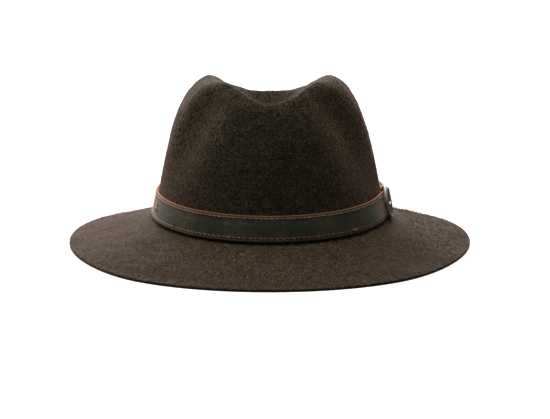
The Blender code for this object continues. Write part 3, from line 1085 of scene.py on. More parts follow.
@dataclass
class LooseFibres:
    """Short hairs that stand off part of the felt, brushed one way and scattered by geometry nodes."""

    name: str
    finish: FibreFinish
    density: float
    length: float = 0.0026
    radius: float = 0.00006
    lean: float = 1.20
    lay_turn: float = QUARTER_TURN
    lay_spread: float = HALF_TURN
    seed: int = 5

    def tree(self, material: bpy.types.Material) -> tuple[bpy.types.NodeTree, dict[str, str]]:
        """Build the node tree that grows the hairs.

        Args:
            material: The hairs' material.

        Returns:
            The tree, and the identifier of each named input.
        """
        titles = ("Density", "Length", "Radius", "Lean", "Lay Turn", "Lay Spread")
        tree, w, given, sockets = new_growth(f"{self.name}_tree", "Felt", titles, "Hairs")

        length, radius = given["Length"], given["Radius"]
        bend = w.add("ShaderNodeCombineXYZ", {0: w.math("MULTIPLY", length, 0.22),
                                              2: w.math("MULTIPLY", length, 0.5)})
        tip = w.add("ShaderNodeCombineXYZ", {0: w.math("MULTIPLY", length, -0.10), 2: length})
        line = w.add("GeometryNodeCurveQuadraticBezier", {
            "Resolution": 2, "Start": (0.0, 0.0, 0.0), "Middle": bend.outputs[0], "End": tip.outputs[0]})
        place = w.add("GeometryNodeSplineParameter").outputs["Factor"]
        taper = w.math("SUBTRACT", 1.0, w.math("MULTIPLY", place, 0.75))
        thinned = w.add("GeometryNodeSetCurveRadius", {"Curve": line.outputs[0], "Radius": taper})
        ring = w.add("GeometryNodeCurvePrimitiveCircle", {"Resolution": 3, "Radius": radius})
        hair = w.add("GeometryNodeCurveToMesh", {
            "Curve": thinned.outputs[0], "Profile Curve": ring.outputs[0], "Fill Caps": True})

        spread = w.add("GeometryNodeDistributePointsOnFaces",
                       {"Mesh": given["Felt"], "Density": given["Density"], "Seed": given["Seed"]})
        tilt = w.random(w.math("MULTIPLY", given["Lean"], 0.72), given["Lean"], given["Seed"])
        least = w.math("SUBTRACT", given["Lay Turn"], given["Lay Spread"])
        most = w.math("ADD", given["Lay Turn"], given["Lay Spread"])
        spin = w.random(least, most, given["Seed"], 1.0)
        laid = w.add("FunctionNodeRotateEuler", {
            "Rotation": spread.outputs["Rotation"],
            "Rotate By": w.add("ShaderNodeCombineXYZ", {2: spin}).outputs[0]}, space="LOCAL")
        leant = w.add("FunctionNodeRotateEuler", {
            "Rotation": laid.outputs[0],
            "Rotate By": w.add("ShaderNodeCombineXYZ", {0: tilt}).outputs[0]}, space="LOCAL")
        size = w.random(0.45, 1.25, given["Seed"], 2.0)
        grown = w.add("GeometryNodeInstanceOnPoints", {
            "Points": spread.outputs["Points"], "Instance": hair.outputs[0], "Rotation": leant.outputs[0],
            "Scale": size})
        shade = w.random(0.0, 1.0, given["Seed"], 3.0)
        shaded = w.add("GeometryNodeStoreNamedAttribute", {
            "Geometry": grown.outputs[0], "Name": "hair_shade", "Value": shade},
            data_type="FLOAT", domain="INSTANCE")
        real = w.add("GeometryNodeRealizeInstances", {0: shaded.outputs[0]})
        coated = w.add("GeometryNodeSetMaterial", {"Geometry": real.outputs[0], "Material": material})
        w.add("NodeGroupOutput", {0: coated.outputs[0]})
        return tree, sockets

    def build(self, points: np.ndarray, effects: SharedEffects) -> bpy.types.Object:
        """Grow the hairs on a part of the felt's outer face.

        Args:
            points: The face's points by row and column, the columns all round.
            effects: The shared node groups.

        Returns:
            The hairs as a plain mesh.
        """
        rows, columns = points.shape[:2]
        faces = [(r * columns + j, r * columns + (j + 1) % columns,
                  (r + 1) * columns + (j + 1) % columns, (r + 1) * columns + j)
                 for r in range(rows - 1) for j in range(columns)]
        thing = object_from(self.name, points.reshape(-1, 3), faces)
        tree, sockets = self.tree(self.finish.material(effects))
        values = {"Density": self.density, "Length": self.length, "Radius": self.radius, "Lean": self.lean,
                  "Lay Turn": self.lay_turn, "Lay Spread": self.lay_spread, "Seed": self.seed}
        return grow(thing, tree, {sockets[title]: value for title, value in values.items()})


# The band and what is fixed to it


@dataclass(frozen=True)
class StrapSizes:
    """Sizes of the strap, its eye, its buckle and its prong, in metres and radians."""

    width: float = 0.0184
    thickness: float = 0.0017
    edge_round: float = 0.00052
    above_break: float = 0.0021
    tip_reach: float = 0.0420
    tip_taper: float = 0.0120
    hole_radius: float = 0.0013
    hole_spacing: float = 0.0120
    spare_holes: int = 2
    eye_wall: float = 0.0007
    eye_taper: float = 0.0120
    buckle_azimuth: float = math.radians(-1)
    buckle_length: float = 0.0184
    wire_radius: float = 0.00115
    front_radius: float = 0.0090
    buckle_lift: float = 0.0006
    prong_radius: float = 0.0008
    prong_overhang: float = 0.0012
    seat_gap: float = 0.00035
    pivot_gap: float = 0.00025

    @property
    def eye_bore(self) -> float:
        """The bore of the strap's eye and of the prong's ring."""
        return self.wire_radius + self.pivot_gap

    @property
    def eye_radius(self) -> float:
        """The outer radius of the eye."""
        return self.eye_bore + self.eye_wall

    @property
    def heel_height(self) -> float:
        """The height of the heel bar over the felt."""
        return self.seat_gap + self.eye_radius

    @property
    def front_height(self) -> float:
        """The height of the front bar over the felt."""
        return 2 * self.seat_gap + self.thickness + self.buckle_lift + self.wire_radius

    @property
    def over_eye(self) -> float:
        """The height over the felt at which the strap passes over its own eye."""
        return 2 * self.seat_gap + 2 * self.eye_radius

    @property
    def prong_tip_height(self) -> float:
        """The height of the prong's tip over the felt."""
        return self.front_height + self.wire_radius + self.pivot_gap + self.prong_radius


class BandPath:
    """The belt line round the crown, on which flat points (along, across, out) are wrapped."""

    def __init__(self, felt: FeltSurface, strap: StrapSizes, steps: int = 1440) -> None:
        """Find the strap's lower and upper lines on the felt.

        Args:
            felt: The felt's outer face.
            strap: The strap's sizes.
            steps: How many places are found round the crown.
        """
        self.strap = strap
        turns = strap.buckle_azimuth + np.linspace(0.0, FULL_TURN, steps + 1)
        foot = felt.sizes.foot
        columns = felt.rows(turns, np.linspace(foot, foot + 6, 181)).transpose(1, 0, 2)
        low_heights = felt.break_height(turns) + strap.above_break
        lines = [self.edges_on(column, height) for column, height in zip(columns, low_heights)]
        self.lower = np.array([line[0] for line in lines])
        self.upper = np.array([line[1] for line in lines])
        middle = (self.lower + self.upper) / 2
        runs = np.linalg.norm(np.diff(middle, axis=0), axis=1)
        self.along = np.concatenate([[0.0], np.cumsum(runs)])
        self.length = float(self.along[-1])
        tangent = np.gradient(middle, self.along, axis=0)
        tangent[0] = tangent[-1] = (tangent[1] + tangent[-2]) / 2
        self.out = unit(np.cross(tangent, self.upper - self.lower))

    def edges_on(self, column: np.ndarray, low_height: float) -> tuple[np.ndarray, np.ndarray]:
        """Find where one column of the felt meets the strap's lower and upper edge.

        Args:
            column: Points up the felt.
            low_height: The height of the strap's lower edge.

        Returns:
            The two points.
        """
        steps = np.linalg.norm(np.diff(column, axis=0), axis=1)
        climbed = np.concatenate([[0.0], np.cumsum(steps)])
        start = np.interp(low_height, column[:, 2], climbed)
        ends = (start, start + self.strap.width)
        low, high = (np.array([np.interp(end, climbed, column[:, axis]) for axis in range(3)])
                     for end in ends)
        return low, high

    def at(self, values: np.ndarray, along: np.ndarray) -> np.ndarray:
        """Read one of the path's lines at each distance along it.

        Args:
            values: The line's value at each of its places.
            along: Distances along the path.

        Returns:
            One value for each distance.
        """
        wrapped = np.mod(along, self.length)
        return np.stack([np.interp(wrapped, self.along, values[:, axis]) for axis in range(3)], axis=-1)

    def wrap(self, points: np.ndarray) -> np.ndarray:
        """Place flat points on the crown.

        Args:
            points: Points as along, across and out.

        Returns:
            Their places in space.
        """
        along, across, out = np.asarray(points, float).T
        lower = self.at(self.lower, along)
        upper = self.at(self.upper, along)
        share = (across / self.strap.width)[:, None]
        return lower + share * (upper - lower) + out[:, None] * self.at(self.out, along)

    def wrap_mesh(self, mesh: bpy.types.Mesh, sharp: bool = False) -> None:
        """Move each vertex of a flat mesh to its place on the crown.

        Args:
            mesh: The mesh.
            sharp: Whether its steep edges stay hard.
        """
        flat = np.empty(len(mesh.vertices) * 3)
        mesh.vertices.foreach_get("co", flat)
        mesh.vertices.foreach_set("co", self.wrap(flat.reshape(-1, 3)).ravel())
        mesh.update()
        if sharp:
            mesh.shade_smooth()
            mesh.set_sharp_from_angle(angle=SHARP_ANGLE)


@dataclass(frozen=True)
class LeatherFinish:
    """Waxed pull-up leather, near black with a green cast, rubbed lighter, with raw rust edges."""

    name: str = "waxed_band_leather"
    deep: Colour = linear(56, 60, 52)
    rubbed: Colour = linear(118, 102, 78)
    raw: Colour = linear(150, 97, 65)
    raw_dark: Colour = linear(106, 70, 47)
    shine: Colour = linear(255, 208, 170)
    rim_rub: float = 0.42
    pull_up: float = 0.9
    grain_height: float = 0.00022
    roughness: float = 0.58

    def material(self, effects: SharedEffects) -> bpy.types.Material:
        """Make the material.

        Args:
            effects: The shared node groups.

        Returns:
            The material.
        """
        dress = Dressing(self.name, effects)
        w = dress.wiring
        raw = dress.attribute("raw_edge")
        rim = dress.attribute("rim_distance")
        grain = dress.group(effects.grain, Vector=dress.place, Cell_Scale=1900.0, Crease_Scale=170.0)
        rub = dress.group(effects.wear, Vector=dress.place, Distance=rim, Reach=0.0042, Scale=190.0,
                          Amount=0.85)
        clouds = w.noise(dress.place, 46.0, 4.0, 0.6)
        streaks = w.noise(dress.stretched((1.0, 1.0, 9.0)), 120.0, 3.0, 0.6)
        pulled = w.math("MULTIPLY", w.span(clouds, 0.45, 0.75), w.span(streaks, 0.4, 0.7))
        share = w.math("ADD", w.math("MULTIPLY", rub.outputs["Mask"], self.rim_rub),
                       w.math("MULTIPLY", pulled, self.pull_up), clamp=True)
        skin = w.mix(share, opaque(self.deep), opaque(self.rubbed))
        skin = w.mix(w.math("MULTIPLY", w.math("SUBTRACT", 1.0, grain.outputs["Hollows"]), 0.35), skin,
                     opaque(tuple(0.5 * value for value in self.deep)))
        edge_tone = w.mix(w.noise(dress.place, 900.0, 3.0, 0.6), opaque(self.raw_dark), opaque(self.raw))
        uneven = w.math("SUBTRACT", w.noise(dress.place, 700.0, 2.0), 0.5)
        broken = w.math("ADD", raw, w.math("MULTIPLY", uneven, 0.7))
        raw_mask = w.span(broken, 0.42, 0.62)
        colour = w.mix(raw_mask, skin, edge_tone)
        rough = w.math("ADD", w.math("MULTIPLY", share, 0.10),
                       w.math("MULTIPLY_ADD", raw_mask, 0.30, self.roughness), clamp=True)
        dress.set(Base_Color=colour, Roughness=rough, Specular_IOR_Level=0.16,
                  Specular_Tint=opaque(self.shine), Sheen_Weight=0.20, Sheen_Roughness=0.30,
                  Sheen_Tint=opaque(self.shine))
        dress.bump(grain.outputs["Height"], self.grain_height, 0.7)
        return dress.material


class Row(Enum):
    """The two rows of stitches, by their distance up the strap as a share of its width."""

    LOWER = 0.128
    UPPER = 0.885


@dataclass
class StrapBand:
    """The leather strap, from its eye round the crown and through the buckle to its tip."""

    path: BandPath
    sizes: StrapSizes
    finish: LeatherFinish
    step: float = 0.0016
    lower_rawness: float = 0.25
    upper_rawness: tuple[float, ...] = (0.0, 0.42, 1.0, 1.0, 1.0)
    groove_inset: float = 0.00115
    groove_depth: float = 0.00016
    groove_reach: float = 0.00042
    dome: float = 0.00012

    def start_thickness(self, along: float) -> float:
        """Give the height of the strap's start, which is thick round its eye, at a distance along it."""
        tapered = 1.0 - float(smooth_share(along / self.sizes.eye_taper))
        return self.sizes.thickness + (2 * self.sizes.eye_radius - self.sizes.thickness) * tapered

    def faces_at(self, along: float) -> tuple[float, float]:
        """Give the inner and outer height of the strap over the felt.

        Args:
            along: The distance from its heel end.

        Returns:
            The two heights.
        """
        s = self.sizes
        if along < 0:
            half = math.sqrt(max(s.eye_radius**2 - along**2, 0.0))
            return s.heel_height - half, s.heel_height + half
        to_heel = along - self.path.length
        if to_heel >= 0:
            inner = 2 * s.seat_gap + self.start_thickness(to_heel)
            return inner, inner + s.thickness
        climb_from = -(s.buckle_length - 3 * s.wire_radius)
        climb_to = -s.eye_radius / 2
        climbed = float(smooth_share((to_heel - climb_from) / (climb_to - climb_from)))
        inner = s.seat_gap + climbed * (s.over_eye - s.seat_gap)
        return inner, inner + max(s.thickness, self.start_thickness(along))

    def edges_at(self, along: float) -> tuple[float, float]:
        """Give the lower and upper edge of the strap, which narrows to a round tip.

        Args:
            along: The distance from its heel end.

        Returns:
            The two distances up the strap.
        """
        s = self.sizes
        into_tip = (along - (self.path.length + s.tip_reach - s.tip_taper)) / s.tip_taper
        if into_tip <= 0:
            return 0.0, s.width
        half = s.width / 2 * math.sqrt(max(1.0 - into_tip**2.4, 0.0))
        return s.width / 2 - half, s.width / 2 + half

    def stations(self) -> np.ndarray:
        """Give the distances along the strap at which its section is drawn.

        Returns:
            The distances, from the eye to the tip.
        """
        s = self.sizes
        total = self.path.length + s.tip_reach
        eye = -s.eye_radius * np.sin(np.radians((80, 66, 52, 38, 25, 12)))
        body = np.linspace(0.0, total - s.tip_taper, round((total - s.tip_taper) / self.step) + 1)
        tip = total - s.tip_taper * (1.0 - np.sin(np.radians(np.linspace(6, 86, 14))))
        return np.concatenate([eye, body, tip])

    def section(self, along: float) -> list[tuple[float, float, float, float]]:
        """Draw the strap's section at a distance along it.

        Args:
            along: The distance from its heel end.

        Returns:
            Points as across, out, rawness of the edge and distance from the rim.
        """
        inner, outer = self.faces_at(along)
        low, high = self.edges_at(along)
        width = high - low
        round_off = min(self.sizes.edge_round, 0.38 * (outer - inner), 0.3 * width)
        points = []
        shares = (0.0, 0.25, 0.5, 0.75, 1.0)
        for share in shares:
            angle = share * QUARTER_TURN
            across = low + round_off * (1 - math.sin(angle))
            out = inner + round_off * (1 - math.cos(angle))
            points.append((across, out, self.lower_rawness, 0.0))
        for share in shares:
            angle = share * QUARTER_TURN
            across = low + round_off * (1 - math.cos(angle))
            out = outer - round_off * (1 - math.sin(angle))
            points.append((across, out, self.lower_rawness * (1.0 - share) ** 2, 0.0))
        inset = min(self.groove_inset, 0.2 * width)
        reach = self.groove_reach
        faces = [(inset - reach, 0.0), (inset - reach / 2, 0.6), (inset, 1.0), (inset + reach / 2, 0.6),
                 (inset + reach, 0.0), (2.4 * inset, 0.0), (4.0 * inset, 0.0)]
        faces = [(max(place, round_off * (1.02 + 0.02 * number)), depth)
                 for number, (place, depth) in enumerate(faces)]
        left = [(low + place, -depth * self.groove_depth) for place, depth in faces]
        middle = [(low + width * share, self.dome * math.sin(HALF_TURN * share))
                  for share in (0.36, 0.5, 0.64)]
        right = [(high - place, -depth * self.groove_depth) for place, depth in reversed(faces)]
        scale = min(1.0, width / self.sizes.width)
        for across, raised in left + middle + right:
            points.append((across, outer + raised * scale, 0.0, min(across - low, high - across)))
        upper_rawness = self.upper_rawness + (1.0,) * len(shares)
        mirrored = []
        for (across, out, _, rim), rawness in zip(reversed(points[:2 * len(shares)]), upper_rawness):
            mirrored.append((low + high - across, out, rawness, rim))
        points += mirrored
        points.append((high - width * 0.25, inner, 0.4, 0.002))
        points.append((low + width * 0.5, inner, 0.4, 0.004))
        points.append((low + width * 0.25, inner, 0.4, 0.002))
        return points

    def flat(self) -> bpy.types.Object:
        """Make the strap before it is cut and wrapped.

        Returns:
            The object, with rawness and rim distance kept on its points.
        """
        shape = bmesh.new()
        raw = shape.verts.layers.float.new("raw_edge")
        rim = shape.verts.layers.float.new("rim_distance")
        rings = []
        for along in self.stations():
            ring = []
            for across, out, rawness, distance in self.section(along):
                vert = shape.verts.new((along, across, out))
                vert[raw] = rawness
                vert[rim] = distance
                ring.append(vert)
            rings.append(ring)
        skin_rings(shape, rings, False)
        return object_of_shape("leather_band", shape)

    def cutters(self, buckle: "Buckle") -> list[bpy.types.Object]:
        """Make what is cut from the strap: eye, slot, the prong's way and the spare holes.

        Args:
            buckle: The buckle, whose prong passes through the strap.

        Returns:
            The cutters.
        """
        s = self.sizes
        middle = s.width / 2
        total = self.path.length
        heel = np.array(((0.0, -s.width, s.heel_height), (0.0, 2 * s.width, s.heel_height)))
        things = [tube("eye_cutter", heel, np.full(2, s.eye_bore), 32, ALONG)]
        half_slot = s.prong_radius + 2 * s.pivot_gap
        slot = bmesh.new()
        bmesh.ops.create_cube(slot, size=1.0)
        low = Vector((-2 * s.eye_radius, middle - half_slot, -s.eye_radius))
        high = Vector((s.eye_radius + s.pivot_gap, middle + half_slot, s.over_eye - s.seat_gap / 2))
        for vert in slot.verts:
            vert.co = (low + high) / 2 + vert.co * (high - low)
        things.append(object_of_shape("slot_cutter", slot))
        way = buckle.prong_line() + np.array((total, 0.0, 0.0))
        radii = np.full(len(way), s.prong_radius + s.seat_gap)
        things.append(tube("prong_cutter", way, radii, 16, ACROSS))
        for number in range(1, s.spare_holes + 1):
            past = number * s.hole_spacing
            start = self.start_thickness(past) + 1.5 * s.seat_gap
            ends = np.array(((total + past, middle, start), (total + past, middle, start + 2 * s.thickness)))
            things.append(tube(f"hole_cutter_{number}", ends, np.full(2, s.hole_radius), 24, ACROSS))
        return things

    def build(self, buckle: "Buckle") -> bpy.types.Object:
        """Make the strap and wrap it round the crown.

        Args:
            buckle: The buckle that it passes through.

        Returns:
            The strap.
        """
        thing = combine(self.flat(), self.cutters(buckle), Joining.CUTS)
        self.path.wrap_mesh(thing.data, sharp=True)
        return thing

    def dress(self, thing: bpy.types.Object, effects: SharedEffects) -> None:
        """Give the strap its leather, attach it to the hat's body and hide the imported strap node.

        Args:
            thing: The strap.
            effects: The shared node groups.
        """
        thing.data.materials.clear()
        thing.data.materials.append(self.finish.material(effects))
        hand_in(thing, "waxed_leather", "strap_band")


def tube(name: str, centres: np.ndarray, radii: np.ndarray, sides: int, flat_normal: Sequence[float],
         closed: bool = False) -> bpy.types.Object:
    """Make a round bar along points that lie near one plane.

    Args:
        name: The object's name.
        centres: The points of its centre line.
        radii: Its radius at each point.
        sides: How many sides it has.
        flat_normal: The normal of the plane.
        closed: Whether the last point joins the first.

    Returns:
        The object.
    """
    centres = np.asarray(centres, float)
    if closed:
        tangents = np.roll(centres, -1, axis=0) - np.roll(centres, 1, axis=0)
    else:
        tangents = np.gradient(centres, axis=0)
    shape = bmesh.new()
    rings = []
    angles = (np.arange(sides) + 0.5) * (FULL_TURN / sides)
    for centre, tangent, radius in zip(centres, tangents, radii):
        side = unit(np.cross(tangent, flat_normal))
        other = unit(np.cross(side, tangent))
        ring = [centre + radius * (math.cos(a) * side + math.sin(a) * other) for a in angles]
        rings.append([shape.verts.new(point) for point in ring])
    skin_rings(shape, rings, closed)
    return object_of_shape(name, shape)


@dataclass(frozen=True)
class MetalFinish:
    """Aged silver-coloured metal: brushed, scratched, and darker in uneven patches."""

    name: str = "aged_silver_metal"
    bright: Colour = linear(168, 162, 151)
    dull: Colour = linear(112, 106, 97)
    roughness: float = 0.62

    def material(self, effects: SharedEffects) -> bpy.types.Material:
        """Make the material.

        Args:
            effects: The shared node groups.

        Returns:
            The material.
        """
        dress = Dressing(self.name, effects)
        w = dress.wiring
        patina = w.span(w.noise(dress.place, 260.0, 4.0, 0.65), 0.38, 0.66)
        scratches = w.noise(dress.stretched((1.0, 0.08, 1.0)), 5200.0, 3.0, 0.7)
        colour = w.mix(w.math("MULTIPLY", patina, 0.65), opaque(self.bright), opaque(self.dull))
        rough = w.math("ADD", w.math("MULTIPLY", patina, 0.16),
                       w.math("MULTIPLY_ADD", scratches, 0.14, self.roughness - 0.07), clamp=True)
        dress.set(Base_Color=colour, Metallic=1.0, Roughness=rough)
        dress.bump(scratches, 0.00003, 0.6)
        return dress.material


@dataclass
class Buckle:
    """The closed wire frame on the wearer's left, square at its heel and round in front, and its prong."""

    path: BandPath
    sizes: StrapSizes
    finish: MetalFinish
    wire_swell: float = 0.00044
    wire_step: float = 0.0009
    corner_steps: int = 14
    largest_corner_share: float = 0.49
    wire_sides: int = 20
    ring_sides: int = 36
    prong_steps: int = 40
    prong_tip_taper: tuple[float, ...] = (0.96, 0.86, 0.68, 0.36)

    def prong_line(self) -> np.ndarray:
        """Give the prong's centre line, from the heel bar up through the strap and over the front bar.

        Returns:
            Its flat points.
        """
        s = self.sizes
        reach = s.buckle_length + s.wire_radius + s.prong_overhang
        along = np.linspace(-s.eye_bore, -reach, self.prong_steps)
        climb_end = s.buckle_length - 2 * s.wire_radius
        climbed = smooth_share((-along - s.eye_radius) / (climb_end - s.eye_radius))
        out = s.heel_height + (s.prong_tip_height - s.heel_height) * climbed
        return np.column_stack([along, np.full(len(along), s.width / 2), out])

    def frame_line(self) -> np.ndarray:
        """Give the centre line of the frame's wire.

        Returns:
            Its flat points.
        """
        s = self.sizes
        outside = s.seat_gap + s.wire_radius
        low, high = -outside, s.width + outside
        front = min(s.front_radius, self.largest_corner_share * (high - low))
        corners = ((-outside, low + outside, outside, -90), (-outside, high - outside, outside, 0),
                   (-s.buckle_length + front, high - front, front, 90),
                   (-s.buckle_length + front, low + front, front, 180))
        points = []
        for along, across, radius, first in corners:
            for step in range(self.corner_steps + 1):
                angle = math.radians(first + 90 * step / self.corner_steps)
                points.append((along + radius * math.cos(angle), across + radius * math.sin(angle)))
        dense = []
        for here, there in zip(points, points[1:] + points[:1]):
            gap = math.dist(here, there)
            count = max(1, round(gap / self.wire_step))
            dense += [tuple(np.add(here, np.subtract(there, here) * k / count)) for k in range(count)]
        plan = np.array(dense)
        climbed = smooth_share(-plan[:, 0] / (s.buckle_length / 2))
        out = s.heel_height + (s.front_height - s.heel_height) * climbed
        return np.column_stack([plan, out])

    def build(self) -> list[bpy.types.Object]:
        """Make the frame and the prong and wrap them on the crown.

        Returns:
            The two pieces.
        """
        s = self.sizes
        line = self.frame_line()
        swell = self.wire_swell * smooth_share(-line[:, 0] / (s.buckle_length / 3))
        wire = tube("buckle_wire", line, s.wire_radius + swell, self.wire_sides, OUT, True)
        line = self.prong_line()
        radii = np.full(len(line), s.prong_radius)
        radii[-len(self.prong_tip_taper):] = s.prong_radius * np.array(self.prong_tip_taper)
        rod = tube("buckle_pin", line, radii, self.wire_sides, ACROSS)
        ring = bmesh.new()
        centre = np.array((0.0, s.width / 2, s.heel_height))
        half = s.prong_radius
        bevel = 0.3 * s.eye_wall
        profile = ((s.eye_bore, -half + bevel), (s.eye_bore + bevel, -half), (s.eye_radius - bevel, -half),
                   (s.eye_radius, -half + bevel), (s.eye_radius, half - bevel), (s.eye_radius - bevel, half),
                   (s.eye_bore + bevel, half), (s.eye_bore, half - bevel))
        rings = []
        for angle in np.arange(self.ring_sides) * (FULL_TURN / self.ring_sides):
            way = np.array((math.cos(angle), 0.0, math.sin(angle)))
            rings.append([ring.verts.new(centre + radius * way + np.array((0.0, width, 0.0)))
                          for radius, width in profile])
        skin_rings(ring, rings, True)
        combine(rod, [object_of_shape("pin_ring", ring)], Joining.ADDS)
        for thing in (wire, rod):
            self.path.wrap_mesh(thing.data, sharp=True)
        return [wire, rod]

    def dress(self, things: Sequence[bpy.types.Object], effects: SharedEffects) -> None:
        """Give frame and prong their metal, attach them to the hat's body and hide the imported buckle
        nodes.

        Args:
            things: The frame and the prong.
            effects: The shared node groups.
        """
        metal = self.finish.material(effects)
        for thing, node in zip(things, ("buckle_frame", "buckle_prong")):
            thing.data.materials.clear()
            thing.data.materials.append(metal)
            hand_in(thing, "aged_metal", node)


@dataclass(frozen=True)
class ThreadFinish:
    """Waxed rust-brown thread."""

    name: str = "waxed_rust_thread"
    light: Colour = linear(180, 128, 92)
    dark: Colour = linear(104, 66, 44)
    roughness: float = 0.6

    def material(self, effects: SharedEffects) -> bpy.types.Material:
        """Make the material.

        Args:
            effects: The shared node groups.

        Returns:
            The material.
        """
        dress = Dressing(self.name, effects)
        w = dress.wiring
        mottle = w.span(w.noise(dress.place, 620.0, 2.0, 0.6), 0.36, 0.64)
        tone = w.mix(mottle, opaque(self.dark), opaque(self.light))
        dress.set(Base_Color=tone, Roughness=self.roughness, Specular_IOR_Level=0.35, Sheen_Weight=0.1)
        dress.bump(w.noise(dress.place, 4200.0, 2.0), 0.00008, 0.8)
        return dress.material


@dataclass(frozen=True)
class HoleFinish:
    """Painted shade for the hollow that a needle leaves in leather: near black, mottled with rust."""

    name: str = "needle_hole_shade"
    deep: Colour = linear(16, 12, 8)
    rim: Colour = linear(74, 46, 30)

    def material(self, effects: SharedEffects) -> bpy.types.Material:
        """Make the material.

        Args:
            effects: The shared node groups.

        Returns:
            The material.
        """
        dress = Dressing(self.name, effects)
        w = dress.wiring
        mottle = w.span(w.noise(dress.place, 1400.0, 2.0, 0.6), 0.42, 0.66)
        tone = w.mix(mottle, opaque(self.deep), opaque(self.rim))
        dress.set(Base_Color=tone, Roughness=0.95, Specular_IOR_Level=0.05)
        return dress.material


